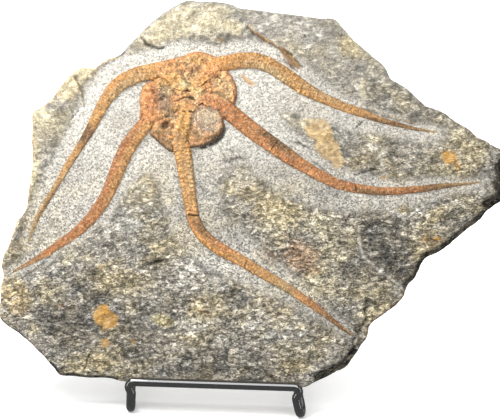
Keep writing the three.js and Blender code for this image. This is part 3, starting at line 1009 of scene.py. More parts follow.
ARM_PLANS: tuple[ArmPlan, ...] = (
    ArmPlan(
        "arm_upper_left",
        ((-24.4, 124.6, 3.2), (-29.2, 123.8, 3.2), (-34, 121.8, 3.2), (-38, 119.4, 3), (-42.8, 113.8, 2.6),
         (-46.4, 107.4, 2.2), (-49.2, 101.8, 2), (-52.8, 95.8, 1.6), (-58.8, 86.2, 1.4), (-63.2, 78.6, 1.2),
         (-67.2, 72.2, 1.1), (-70.4, 66.6, 1), (-72.8, 60.6, 0.6), (-74, 56.6, 0.35)),
        ((0, 12, 5.5), (0.15, 12, 7), (0.3, 10, 6), (0.5, 10, 5.5), (0.7, 9, 5), (0.85, 4, 4), (1, 2.5, 2)),
        ((0, GOLD, GOLD), (0.1, BUFF, GOLD), (0.18, BUFF, HONEY),
         (0.3, GOLD, GOLD), (0.38, GOLD, GOLD), (0.42, UMBER, UMBER),
         (0.47, UMBER, BROWN), (0.52, GOLD, GOLD), (0.66, BUFF, GOLD),
         (0.8, UMBER, BUFF), (1, TAN, TAN)),
    ),
    ArmPlan(
        "arm_left",
        ((-27.2, 103.8, 3), (-31.6, 98.2, 3.2), (-34.8, 93.4, 3.2), (-38.4, 85.4, 3), (-42, 76.6, 2.6),
         (-46.4, 69.4, 2.4), (-53.2, 61.8, 2), (-61.2, 56, 1.6), (-69.2, 50.6, 1.2), (-77.2, 46.2, 0.6),
         (-80.4, 44.2, 0.35)),
        ((0, 12, 12), (0.15, 10, 12), (0.3, 4, 12), (0.5, 2.2, 10), (0.75, 1.6, 6), (0.88, 1.4, 2.5),
         (1, 1.2, 2)),
        ((0, GOLD, ORANGE), (0.12, GOLD, BRICK), (0.3, GOLD, BRICK),
         (0.5, ORANGE, BRICK), (0.62, ORANGE, BRICK), (0.8, ORANGE, BRICK),
         (1, TAN, UMBER)),
    ),
    ArmPlan(
        "arm_front",
        ((-12.4, 93.4, 3.6), (-11.6, 89.4, 3.4), (-10.8, 83.4, 3.2), (-9.8, 77.4, 2.9), (-9.2, 73.4, 2.8),
         (-8, 66.6, 2.6), (-5.4, 61, 2.6), (-2, 57.4, 2.6), (2.2, 54.2, 2.6), (12.4, 48.6, 2.2),
         (19.6, 44.2, 2), (26.8, 40.2, 1.8), (34.8, 35, 1.6), (44.8, 27.8, 1.2), (50.8, 23, 0.8),
         (56, 19.4, 0.4)),
        ((0, 14, 14), (0.12, 9, 8), (0.3, 9, 7), (0.42, 10, 6), (0.52, 6, 5), (0.65, 4, 4), (0.8, 2.6, 2.4),
         (1, 1, 1)),
        ((0, GOLD, GOLD), (0.1, BUFF, GOLD), (0.2, GOLD, GOLD),
         (0.27, UMBER, ORANGE), (0.33, UMBER, HONEY), (0.42, ORANGE, HONEY),
         (0.48, GOLD, HONEY), (0.6, GOLD, GOLD), (0.68, BUFF, TAN),
         (0.76, ORANGE, HONEY), (0.9, UMBER, UMBER), (1, GOLD, BROWN)),
        0.85,
    ),
    ArmPlan(
        "arm_right",
        ((6.4, 108.6, 3.5), (14.8, 101.8, 3.4), (24.8, 94.6, 3.2), (30.8, 90.4, 3), (36.8, 86.6, 2.4),
         (42.8, 83.2, 2.2), (48.8, 80.2, 2), (54.8, 78.6, 1.9), (66.8, 77, 1.6), (78.8, 77.5, 1.4),
         (90.8, 79, 1.1), (96.8, 79.6, 0.7), (102.8, 80.2, 0.4), (106.8, 80.8, 0.3)),
        ((0, 14, 9), (0.2, 7, 9.5), (0.35, 5, 12), (0.5, 4, 8), (0.65, 3.2, 5.5), (0.85, 2.5, 3),
         (1, 1.5, 1.2)),
        ((0, BRICK, BRICK), (0.1, ORANGE, ORANGE), (0.15, UMBER, ORANGE),
         (0.2, UMBER, ORANGE), (0.25, UMBER, BRICK), (0.31, ORANGE, ORANGE),
         (0.5, BRICK, ORANGE), (0.6, ORANGE, UMBER), (0.72, ORANGE, BRICK),
         (0.82, UMBER, UMBER), (0.92, TAN, UMBER), (1, TAN, TAN)),
        0.45,
    ),
    ArmPlan(
        "arm_upper_right",
        ((5.2, 128, 3), (10.8, 129, 3.2), (14.8, 129.2, 3.2), (18.8, 128.6, 3.1), (22.8, 127, 3),
         (30.8, 121.8, 3), (36, 118.2, 2.8), (42.8, 114.6, 2.2), (50.8, 111, 1.8), (58.8, 108.2, 1.6),
         (66.8, 105.4, 1.2), (74.8, 103.2, 0.9), (80.8, 101.8, 0.7), (86.8, 100.8, 0.4), (89.2, 100.6, 0.3)),
        ((0, 4.5, 14), (0.2, 5.5, 12), (0.4, 4.5, 9), (0.55, 2.5, 6), (0.75, 2, 4.5), (1, 2, 3)),
        ((0, HONEY, HONEY), (0.15, GOLD, BUFF), (0.25, GOLD, TAN),
         (0.35, GOLD, GOLD), (0.5, BUFF, GOLD), (0.6, GOLD, GOLD),
         (0.72, GOLD, UMBER), (0.82, UMBER, UMBER), (1, TAN, TAN)),
    ),
)

MOUTH: Place = (-9.2, 114.0)
KEY_LIGHT_SIDE = (-0.45, 0.89)  # painted shade on the side of each arm that faces this way, towards the key light, and painted light on the other side, evening out the lamp's shading
PREPARED_ROUND: Place = (-10.0, 109.0)  # middle of the cleared ground round the disc
PREPARED_RADIUS = 27.5


# ---- Marks on the face ----


@dataclass(frozen=True)
class Patch:
    """A stain with a ragged edge, or a painted shadow where its tone is the shadow's: an ellipse on the face.

    Attributes:
        tone: Its colour.
        u: Middle, across.
        v: Middle, up.
        across: Half its width.
        along: Half its height.
        turn: How far it is turned, in degrees, counterclockwise.
        strength: How fully it covers the rock.
        crisp: Whether its edge is sharp, as on a crust, rather than faded.
    """

    tone: Tone
    u: float
    v: float
    across: float
    along: float
    turn: float = 0.0
    strength: float = 0.7
    crisp: bool = False

    def cover(self, u: Array, v: Array, ragged: Array) -> Array:
        """Tells how much of the patch covers each place.

        Args:
            u, v: Places across and up.
            ragged: Noise that frays the edge.

        Returns:
            Shares from 0 to the patch's strength.
        """
        turn = math.radians(self.turn)
        du, dv = u - self.u, v - self.v
        a = (du * math.cos(turn) + dv * math.sin(turn)) / self.across
        b = (dv * math.cos(turn) - du * math.sin(turn)) / self.along
        fray = 0.22 if self.crisp else 0.5
        reach = np.hypot(a, b) + fray * ragged
        low, high = (0.92, 1.08) if self.crisp else (0.5, 1.25)
        return self.strength * (1.0 - ease(reach, low, high))


@dataclass(frozen=True)
class Crack:
    """A thin open crack in the face.

    Attributes:
        points: Its line.
        width: Half its width.
        depth: How deep it is cut.
        tone: Colour inside it; the dark default is painted shade.
    """

    points: tuple[Place, ...]
    width: float = 0.35
    depth: float = 0.5
    tone: Tone = SHADOW

    def cut(self, u: Array, v: Array, wander: Array, tip: float) -> Array:
        """Tells how fully the crack is open.

        Args:
            u, v: Places across and up.
            wander: How far its line is shaken aside, in millimetres.
            tip: Its width at its ends, as a share.

        Returns:
            Shares from 0 to 1.
        """
        signed, station, _ = line_distance(u, v, np.array(self.points))
        taper = tip + (1.0 - tip) * np.sin(np.pi * np.clip(station / (len(self.points) - 1), 0.0, 1.0))
        return bell(signed + wander, self.width * taper)


@dataclass(frozen=True)
class Ledge:
    """A step where a thin bed has flaked away on the right of its line.

    Attributes:
        points: Its line.
        drop: Height of the step.
        reach: How far the lowered ground runs from it.
        tone: Colour of the step itself.
        band: Half the width of the coloured step.
    """

    points: tuple[Place, ...]
    drop: float
    reach: float
    tone: Tone
    band: float = 0.6


# Each row holds the fields of one stain. A later one lies over an earlier one.
PATCHES: tuple[Patch, ...] = tuple(Patch(*row) for row in (
    # along the top
    (CREAM, -11, 144.5, 19, 7, 15, 0.62), (CREAM, 7.5, 142.5, 5.6, 3.2, -20, 0.9),
    (CREAM, -34, 129.5, 5.6, 3.6, 35, 0.6), (SAND, -51, 123, 6, 2.6, 30, 0.6),
    (SAND, -59, 117, 4.8, 5.6, -40, 0.6), (GREY, 22, 143, 12, 5, -10, 0.7),
    (SLATE, 45, 139.5, 4.4, 4.4, 0, 0.6), (KHAKI, 54.5, 134.5, 5.6, 4.8, -45, 0.8),
    (UMBER, 30.6, 130.0, 6.6, 1.5, -47, 1.0, True), (UMBER, 20, 138, 4.6, 0.6, -35, 0.9, True),
    (SLATE, 5, 138.5, 4, 1.8, 5, 0.75), (AMBER, 3.5, 137.3, 0.7, 0.6, 0, 0.7, True),
    (CREAM, -56, 123, 10, 6, 30, 0.85), (CREAM, -69, 106, 6, 6, 0, 0.85),
    (CREAM, -71.5, 86, 2.6, 12, 0, 0.75), (PALE, -40, 131, 9, 4, 30, 0.4),
    # upper right
    (CREAM, 101, 97, 9, 6, -35, 0.6), (PALE, 34, 142, 18, 7, -12, 0.2), (GREY, 49, 127, 12, 6, -20, 0.6),
    (CREAM, 59.5, 116.5, 1.6, 5.4, -5, 0.7), (SLATE, 66, 116, 5.6, 4, -35, 0.45),
    (KHAKI, 75, 113.5, 5.6, 3.2, -35, 0.4), (SLATE, 80, 106, 1.6, 2.6, -20, 0.9, True),
    (CREAM, 87, 100.5, 5.6, 1.6, -20, 0.6), (KHAKI, 102, 93.5, 9, 3.2, -30, 0.4),
    (AMBER, 13.9, 121.1, 3.8, 0.75, -38, 1.0, True), (CREAM, 13.5, 123, 3.2, 1.6, -40, 0.4),
    # between the right arms
    (TAN, 42, 101.5, 6, 4.2, -25, 0.85, True), (TAN, 45.5, 94.5, 5.4, 4.4, -40, 0.85, True),
    (TAN, 49.5, 89.5, 2.2, 3.6, 5, 0.85, True), (SLATE, 33, 106, 2.2, 2, -35, 0.8, True),
    (CREAM, 37, 104.5, 3.2, 2.4, 20, 0.6), (SLATE, 70, 94.5, 5.6, 3.6, -10, 0.6),
    (SLATE, 61.5, 86.5, 5.6, 2.2, 10, 0.6), (PALE, 63, 94.5, 3.2, 2, -30, 0.35),
    (AMBER, 93.5, 90.5, 3, 2.5, 0, 0.9, True), (AMBER, 97, 87, 1.4, 2.4, 10, 0.55),
    (AMBER, 68, 82.5, 1.1, 0.6, 0, 0.9, True), (OLIVE, 87, 88, 6, 4, 20, 0.35),
    # lower right
    (SLATE, 66, 62.5, 9, 6.8, -10, 0.85), (SLATE, 70, 49.5, 11.8, 8, -35, 0.95),
    (KHAKI, 76, 70, 3.2, 2.4, 0, 0.8), (KHAKI, 90, 68, 6.4, 3.6, 25, 0.6), (BROWN, 87.5, 57, 4, 2, 30, 0.7),
    (AMBER, 89.5, 58, 1.5, 0.7, -10, 0.9, True), (AMBER, 84.5, 58, 0.5, 1.5, -25, 0.8, True),
    (SLATE, 53, 45.5, 4.8, 3.6, 0, 0.65), (CREAM, 45, 63, 8.8, 6, -20, 0.6),
    (CREAM, 47, 52.5, 8, 3.2, -20, 0.5), (CREAM, 43, 36.5, 8.8, 4.8, -30, 0.4),
    (PALE, 63, 52, 1.9, 0.5, 5, 0.7, True), (KHAKI, 66, 29, 8, 4, 35, 0.7),
    (SLATE, 41, 23.5, 4.8, 4.4, 0, 0.4),
    # middle
    (KHAKI, 11, 78.5, 10.4, 4.4, 10, 0.6), (PALE, 14, 82, 8, 4, 10, 0.35),
    (KHAKI, 23.5, 69, 10.4, 5.6, -30, 0.75), (SLATE, 7.5, 88, 5.6, 2.2, 10, 0.5),
    (SLATE, 19.5, 80.5, 4, 3, -35, 0.65), (SLATE, 6, 64, 11, 7, 10, 0.3),
    (SLATE, 33, 73.5, 2.8, 2, -15, 0.8), (RUST, 35, 50.5, 8, 7, -40, 0.55), (RUST, 22, 51, 6, 3, -20, 0.3),
    (BROWN, 28, 58, 3.2, 2, 0, 0.55), (RUST, 41.5, 45.5, 2, 2, 0, 0.6),
    (PALE, 16, 26.5, 3.6, 7.2, -20, 0.35), (KHAKI, 27, 26.5, 5.6, 5.6, 0, 0.7),
    (KHAKI, 33, 7, 6.4, 3.2, 0, 0.7), (SLATE, 19.5, 8.5, 5.6, 5.6, 0, 0.5),
    (SLATE, -1, 10, 15, 5.6, 0, 0.6), (PALE, -8, 22.5, 5.6, 3.6, 0, 0.5),
    (STRAW, -20, 25.5, 4.8, 2.6, -10, 0.75), (PALE, -6, 43, 18, 8, 5, 0.4), (PALE, 26, 22, 8, 7, -20, 0.25),
    (CREAM, 46, 42, 9, 7, -20, 0.3), (CREAM, 64, 24, 8, 8, 40, 0.35), (CREAM, 25, 62, 8, 6, -30, 0.3),
    # left
    (PALE, -36, 63, 8.8, 3, 8, 0.3), (SLATE, -38, 71.5, 3.2, 7.6, -28, 0.55),
    (OLIVE, -34, 78.5, 3.6, 3.2, 0, 0.45), (CREAM, -58, 49.5, 4, 2, 15, 0.45),
    (SAND, -78, 34, 5.4, 8.2, 0, 0.6), (SLATE, -66, 23.5, 4.8, 9, 30, 0.55),
    (SLATE, -55, 25, 12, 11, 0, 0.9), (SLATE, -34, 25, 12, 9, 0, 0.5), (CREAM, -72, 22, 2.4, 3.2, 0, 0.6),
    (SLATE, -44.5, 34, 5.6, 2.4, 10, 0.8), (AMBER, -43, 26, 5, 3.7, -25, 0.95, True),
    (AMBER, -44, 29.6, 2.6, 2.2, 0, 0.9, True), (AMBER, -43, 16.2, 1.6, 1.7, 0, 0.97, True),
    (AMBER, -43.6, 21.8, 0.6, 1, 0, 0.8, True), (AMBER, -32, 17, 0.8, 1, 20, 0.85, True),
    (AMBER, -61.2, 31, 0.5, 0.6, 0, 0.8, True), (AMBER, -48.5, 30, 0.6, 0.4, 0, 0.7, True),
    (AMBER, -45, 46.5, 1, 0.5, 0, 0.7, True), (KHAKI, -51, 8.5, 10.4, 3.6, 3, 0.5),
    (SLATE, -31, 13.5, 10.4, 7.2, 0, 0.35), (OLIVE, -61, 104.5, 4.4, 6, -20, 0.45),
    (OLIVE, -79, 48.5, 3.6, 4, 0, 0.7), (KHAKI, -75.5, 55.5, 3.2, 4, 0, 0.6),
    (KHAKI, -73, 64.5, 3.6, 5.6, -20, 0.5), (SLATE, -20, 45, 9, 4, 5, 0.35),
    (SLATE, -54, 38, 8, 5, 20, 0.4),
))

# Middles and reaches of the places where the cleared ground kept more of its own grey.
DULLED: tuple[Triple, ...] = (
    (-14.0, 82.0, 18.0), (8.0, 66.0, 13.0), (-76.0, 66.0, 15.0), (-55.0, 83.0, 12.0), (-36.0, 103.0, 9.0),
    (10.0, 83.0, 11.0), (26.0, 82.0, 10.0), (44.0, 78.0, 10.0), (-14.0, 64.0, 12.0),
)

CRACKS: tuple[Crack, ...] = (
    Crack(((-29, 139), (-27.5, 136.5), (-25, 134.6), (-22.6, 133.8), (-19.5, 134.5)), 0.55, 1.1),
    Crack(((-34.5, 133.5), (-32.5, 131)), 0.3, 0.4, BROWN),
    Crack(((-53, 110.5), (-56, 107), (-57.5, 105)), 0.35, 0.5),
    Crack(((27.6, 133.8), (31.4, 131.2), (35.6, 126.4)), 0.5, 0.9),
    Crack(((25.4, 131.8), (29.2, 128.6), (33.6, 124.4)), 0.45, 0.7, BROWN),
    # painted shadow cast by the disc's lower right rim onto the slab, cut in as a shallow groove
    Crack(((5.1, 102.0), (3.5, 98.9), (0.9, 96.6), (-3.0, 94.9), (-6.8, 94.1)), 0.9, 0.9),
    Crack(((57, 102.5), (58.5, 104), (60, 105)), 0.35, 0.6),
    Crack(((56.5, 83.5), (61, 85), (65.5, 86)), 0.35, 0.5),
    Crack(((-48, 14), (-50, 9.5), (-51.5, 4.5)), 0.35, 0.6),
    Crack(((-26.5, 47.5), (-22.5, 48.7), (-18, 49.5)), 0.7, 1.2),
    Crack(((-10, 29), (-7, 30), (-3, 28.5), (1.5, 28)), 0.3, 0.4, RUST),
    Crack(((32.5, 96.5), (35, 96), (38, 94)), 0.4, 0.6),
    Crack(((3, 34.5), (6, 32), (9, 32.5)), 0.4, 0.6),
    Crack(((28, 53.5), (31, 54)), 0.3, 0.5), Crack(((29, 17.5), (31, 18.5)), 0.3, 0.5),
    Crack(((53, 64.5), (54, 66.5), (55, 68)), 0.35, 0.6),
    Crack(((71.5, 59.5), (74, 58), (77, 58)), 0.35, 0.6),
    Crack(((57.6, 63.5), (58.4, 57), (59.4, 51.5), (66, 45.5), (74.8, 39.4)), 0.36, 0.1, PALE),
    Crack(((64.5, 96.5), (66.0, 92.0), (67.4, 87.5), (68.6, 83.0)), 0.5, 0.1, PALE),
    Crack(((56.5, 120.5), (58.2, 117.0), (60.4, 112.4)), 0.6, 0.1, PALE),
    Crack(((-52, 31), (-48, 34)), 0.35, 0.5),
    Crack(((-77, 42), (-72, 45), (-66.5, 49)), 0.3, 0.6),
    Crack(((58.4, 25.0), (57.0, 22.0), (57.4, 19.4), (55.6, 16.6), (55.8, 14.0), (53.4, 10.8)), 0.6, 1.0),
    Crack(((18, 1.5), (22.5, 4), (25.5, 1)), 0.5, 0.7),
    Crack(((-53, 5), (-48.5, 4.4), (-43, 3.8)), 0.4, 0.6),
    Crack(((85.5, 59.5), (87.5, 57.5), (91, 58)), 0.35, 0.6),
)

LEDGES: tuple[Ledge, ...] = (
    Ledge(((35, 125.5), (30.5, 131), (26, 134.5), (21.5, 137), (16.5, 140), (13, 144)), -0.9, 8, AMBER, 0.35),
    Ledge(((-56.5, 124), (-54.5, 120), (-53, 116.5), (-52.5, 112.5), (-52, 110)), -0.7, 6, SAND, 0.4),
    Ledge(((40, 89), (45, 86), (49, 82.5)), 0.5, 4, PALE, 0.4),
    Ledge(((45, 115.5), (55, 111), (64, 109), (74.5, 105.5), (81, 104)), 0.5, 3, TAN, 0.35),
    Ledge(((3.5, 87.5), (9, 90), (15, 89.5)), -0.8, 6, SLATE, 0.4),
    Ledge(((3, 54.5), (9, 52), (15, 50)), 0.4, 3, PALE, 0.3),
    Ledge(((25, 42.5), (30, 40), (34.5, 38)), 0.4, 3, PALE, 0.3),
    Ledge(((37.5, 34.5), (41.5, 32), (45.5, 30)), 0.3, 2, ORANGE, 0.3),
    Ledge(((61.4, 35), (60.0, 30), (60.6, 26), (57.6, 21.6), (57.8, 17), (54.5, 12)), -1.3, 12, OLIVE, 0.4),
    Ledge(((60, 34), (72, 45), (84, 56)), -0.5, 8, GREY, 0.3),
    Ledge(((11, 123.5), (13.5, 120.8), (15.5, 119.5)), 0.2, 2, AMBER, 0.35),
)


@dataclass(frozen=True)
class Break:
    """A stretch of the rim where the face breaks away in a slope.

    Attributes:
        start: Where it begins, in degrees round the slab's centre.
        end: Where it ends, counterclockwise of its start.
        width: How wide the slope is.
        depth: How far down it goes.
        tone: Its colour; the darkest tone paints the shade on slopes that face away from the light.
        fade: How many degrees it fades over at each end.
    """

    start: float
    end: float
    width: float
    depth: float
    tone: Tone
    fade: float = 1.2

    def share(self, angle: Array) -> Array:
        """Tells how fully the break is there.

        Args:
            angle: Directions from the slab's centre, in degrees.

        Returns:
            Shares from 0 to 1.
        """
        middle, half = (self.start + self.end) / 2, (self.end - self.start) / 2
        away = np.abs((angle - middle + 180.0) % 360.0 - 180.0)
        return 1.0 - ease(away, half - self.fade, half + self.fade)


BREAKS: tuple[Break, ...] = (
    Break(60, 134, 0.8, 0.7, GREY),
    Break(134, 178, 0.8, 0.7, SAND),
    Break(178, 212, 0.7, 0.7, SAND),
    # the darkest rows paint shade on the slopes that face away from the light
    Break(-5, 5, 5.4, 7.0, DEEP_SHADE),
    Break(-22, -6, 2.8, 3.0, DEEP_SHADE),
    Break(-32, -23, 2.2, 2.4, DEEP_SHADE),
    Break(-54, -33, 0.8, 1.2, BROWN),
    Break(-68, -55, 4.2, 4.2, DEEP_SHADE),
    Break(-136, -122, 1.6, 1.6, DEEP_SHADE),
    Break(-150, -137, 0.7, 1.2, BROWN),
)


# ---- Slab ----


@dataclass
class Chart:
    """Values on a fine square grid over the slab, read back at any place.

    Attributes:
        low: The grid's first corner.
        cell: Width of a square in millimetres.
        values: One value or colour for each crossing, by row and column.
    """

    low: Place
    cell: float
    values: Array

    def at(self, u: Array, v: Array) -> Array:
        """Reads the chart between its crossings.

        Args:
            u, v: Places across and up.

        Returns:
            A value or a colour for each place.
        """
        rows, columns = self.values.shape[:2]
        x = np.clip((u - self.low[0]) / self.cell, 0, columns - 1.001)
        y = np.clip((v - self.low[1]) / self.cell, 0, rows - 1.001)
        i, j = x.astype(int), y.astype(int)
        fx, fy = x - i, y - j
        if self.values.ndim == 3:
            fx, fy = fx[..., None], fy[..., None]
        grid = self.values
        near = grid[j, i] * (1 - fx) + grid[j, i + 1] * fx
        far = grid[j + 1, i] * (1 - fx) + grid[j + 1, i + 1] * fx
        return near * (1 - fy) + far * fy

    def softened(self, reach: float) -> "Chart":
        """Smooths the chart.

        Args:
            reach: How far, in millimetres.

        Returns:
            A new chart.
        """
        count = max(1, round(reach / self.cell))
        weight = np.exp(-0.5 * (np.arange(-2 * count, 2 * count + 1) / count) ** 2)
        weight /= weight.sum()
        smooth = self.values
        for axis in (0, 1):
            padded = np.pad(smooth, [(2 * count,) * 2 if k == axis else (0, 0) for k in (0, 1)], mode="edge")
            size = self.values.shape[axis]
            smooth = sum(w * np.take(padded, range(k, k + size), axis=axis) for k, w in enumerate(weight))
        return Chart(self.low, self.cell, smooth)


@dataclass
class SlabFace:
    """Heights and colours all over the face, with the painted shade and highlight of its hollows and rises.

    Attributes:
        cell: Width of a square of its charts in millimetres.
        bed: Height of one thin bed of the split rock.
        lay: Direction that the grain of the rock runs in.
        hollow_reach: How far round a place its height is compared with, to find the hollows.
        hollow_depth: How far below that a full hollow lies.
        low: The charts' first corner.
        high: Their last corner.
    """

    cell: float = 0.4
    bed: float = 0.42
    lay: float = math.radians(18)
    hollow_reach: float = 1.2
    hollow_depth: float = 0.26
    low: Place = (-92.0, -6.0)
    high: Place = (123.0, 159.0)
    height: Chart = field(init=False)
    hollow_shade: Chart = field(init=False)
    prepared: Chart = field(init=False)
    crust: Chart = field(init=False)
    tint: Chart = field(init=False)

    def __post_init__(self) -> None:
        """Works the charts out."""
        columns = np.arange(self.low[0], self.high[0], self.cell)
        rows = np.arange(self.low[1], self.high[1], self.cell)
        u, v = np.meshgrid(columns, rows)
        grain = Grain(11)
        clear, beyond = self.beside_arms(u, v)
        edge = beyond + 1.5 * grain.rough(u, v, 7.0, 4) + 1.1 * grain.rough(v, u, 1.8, 3)
        prepared = 1.0 - ease(edge, -1.2, 2.6)
        slope = 1.0 - ease(edge, -1.0, 5.0)
        natural = self.natural_height(u, v, grain)
        ground = FLOOR_W + 0.1 * grain.rough(u, v, 22.0, 2) + 0.07 * grain.rough(u, v, 1.5, 2)
        height = natural + (ground - natural) * slope
        tint = self.colours(u, v, clear, prepared)
        height, tint = self.scar(u, v, height, tint)
        above_rail = ease(v, RAIL_CLEARANCE_V - 2.0, RAIL_CLEARANCE_V + 1.0)
        height = np.where(height > -0.05, -0.05 + (height + 0.05) * above_rail, height)
        self.height = Chart(self.low, self.cell, height)
        # painted shade in the hollows and painted highlight on the rises, halved on the prepared ground
        hollow_shade = (height - self.height.softened(self.hollow_reach).values) / self.hollow_depth
        hollow_shade = np.clip(hollow_shade, -1.0, 1.0) * (1.0 - 0.5 * prepared)
        self.hollow_shade, self.prepared, self.crust, self.tint = (
            Chart(self.low, self.cell, values) for values in (hollow_shade, prepared, self.crusts(u, v), tint)
        )

    @staticmethod
    def beside_arms(u: Array, v: Array) -> tuple[Array, Array]:
        """Measures how far places are from the fossil.

        Args:
            u, v: Places across and up.

        Returns:
            The distance to the nearest arm's side, and the distance beyond the prepared ground.
        """
        clear = np.full(u.shape, np.inf)
        beyond = np.hypot(u - PREPARED_ROUND[0], v - PREPARED_ROUND[1]) - PREPARED_RADIUS
        for plan in ARM_PLANS:
            stations = np.array(plan.stations)
            signed, station, run = line_distance(u, v, stations[:, :2])
            length = np.hypot(*np.diff(stations[:, :2], axis=0).T).sum()
            half = np.interp(station, np.arange(len(stations)), stations[:, 2])
            left, right = plan.margins_at(run / length)
            gap = np.abs(signed) - half
            clear = np.minimum(clear, gap)
            beyond = np.minimum(beyond, gap - np.where(signed > 0, left, right))
        return clear, beyond

    def natural_height(self, u: Array, v: Array, grain: Grain) -> Array:
        """Height of the unprepared face: slow waves split into thin beds, with a streaky grain.

        Args:
            u, v: Places across and up.
            grain: The noise it is made with.

        Returns:
            Heights in millimetres.
        """
        surface = SKIN_W + SKIN_RELIEF * waves(u, v) + 0.5 * grain.rough(u, v, 9.0, 5, 1.8, self.lay)
        stepped = split_beds(surface, self.bed, 0.7, 0.96)
        chips = 0.3 * np.abs(grain.rough(u, v, 2.2, 3, 2.2, self.lay)) - 0.07
        pits = 0.1 * grain.rough(v, u, 1.5, 2)
        return np.maximum(0.3 * surface + 0.7 * stepped + chips + pits, FLOOR_W + 0.2)

    @staticmethod
    def crusts(u: Array, v: Array) -> Array:
        """Tells how fully a smooth crust or a vein covers each place.

        Args:
            u, v: Places across and up.

        Returns:
            Shares from 0 to 1.
        """
        ragged = Grain(23).rough(u + 40.0, v, 3.6, 5)
        cover = np.zeros_like(u)
        for patch in PATCHES:
            if patch.crisp:
                cover = np.maximum(cover, patch.cover(u, v, ragged))
        for crack in CRACKS:
            if crack.tone is PALE:
                signed, _, _ = line_distance(u, v, np.array(crack.points))
                cover = np.maximum(cover, bell(signed, 1.4 * crack.width))
        return cover

    @staticmethod
    def colours(u: Array, v: Array, clear: Array, prepared: Array) -> Array:
        """Paints the face.

        Args:
            u, v: Places across and up.
            clear: Distance to the nearest arm's side.
            prepared: Share of prepared ground.

        Returns:
            A colour for each place.
        """
        grain = Grain(23)
        broad = grain.rough(u, v, 16.0, 5, 1.4, math.radians(25))
        fine = grain.rough(u, v, 5.0, 5, 1.8, math.radians(28))
        other = grain.rough(v, u, 8.0, 5)
        tint = GREY.sheet(u.shape)
        bold = 1.25 - 0.55 * ease(v, 70.0, 130.0)
        tint = KHAKI.wash(tint, broad + 0.4 * fine, -0.3, 0.6, 0.62 * bold)
        tint = SLATE.wash(tint, other + 0.5 * fine, 0.1, 0.8, 0.7 * bold)
        tint = CREAM.wash(tint, fine - 0.4 * other, 0.35, 0.85, 0.7 * bold)
        ragged = grain.rough(u + 40.0, v, 3.6, 5)
        for patch in PATCHES:
            tint = patch.tone.over(tint, patch.cover(u, v, ragged))
        low = 1.0 - 0.6 * ease(v, 95.0, 140.0)
        flecks = grain.rough(u - 60.0, v, 2.4, 4, 1.6, math.radians(30))
        tint = PALE.wash(tint, flecks, 0.28, 0.6, 0.42 * bold)
        tint = SHADOW.wash(tint, -flecks, 0.3, 0.62, 0.6 * low)
        ground = GREY.wash(PREPARED.linear, broad + 0.3 * fine, 0.1, 0.9, 0.35)
        ground = PALE.over(ground, bell(np.maximum(clear, 0.0), 1.0) * 0.5)
        white = 0.42 + 0.58 * ease(v + 12.0 * broad + 5.0 * fine, 45.0, 95.0)
        white = white * (1.0 - 0.36 * ease(u, 5.0, 50.0))
        for thin_u, thin_v, reach in DULLED:
            white = white * (1.0 - 0.5 * np.exp(-(((u - thin_u) / reach) ** 2) - ((v - thin_v) / reach) ** 2))
        shade = (0.93 + 0.07 * ease(v, 25.0, 80.0))[..., None]
        hold = np.ones_like(u)
        for patch in PATCHES:
            if patch.crisp:
                hold *= 1.0 - patch.cover(u, v, ragged)
        return mix(tint * shade, ground, prepared * (0.2 + 0.75 * hold) * white)

    @staticmethod
    def scar(u: Array, v: Array, height: Array, tint: Array) -> tuple[Array, Array]:
        """Cuts the cracks and ledges into the face and colours them, with a painted shadow beside each step,
        and painted shade inside the dark cracks.

        Args:
            u, v: Places across and up.
            height: Heights so far.
            tint: Colours so far.

        Returns:
            The new heights and colours.
        """
        grain = Grain(37)
        wander = 0.6 * grain.rough(u, v, 3.2, 4)
        broken = grain.rough(v, u, 2.6, 3)
        for ledge in LEDGES:
            signed, station, _ = line_distance(u, v, np.array(ledge.points))
            signed = signed * math.copysign(1.0, ledge.drop) + 1.2 * wander
            last = len(ledge.points) - 1.0
            ends = ease(station, 0.0, 0.4) * (1.0 - ease(station, last - 0.4, last))
            fade = np.clip(1.0 - np.abs(signed) / ledge.reach, 0.0, 1.0) * ends
            height = height - abs(ledge.drop) * fade * ease(-signed, -0.25, 0.25)
            band = bell(signed, ledge.band) * ends * ease(broken, -0.5, 0.2)
            tint = ledge.tone.over(tint, 0.85 * band)
            # painted shadow on the ground beside the step
            step_shadow = bell(signed + 1.3 * ledge.band, 0.8 * ledge.band) * ends
            tint = tint * (1.0 - 0.45 * step_shadow)[..., None]
        for crack in CRACKS:
            cut = crack.cut(u, v, wander, 0.35) * ease(broken, -0.55, -0.05)
            height = height - crack.depth * cut
            tint = crack.tone.over(tint, 0.9 * cut)
        return height, tint


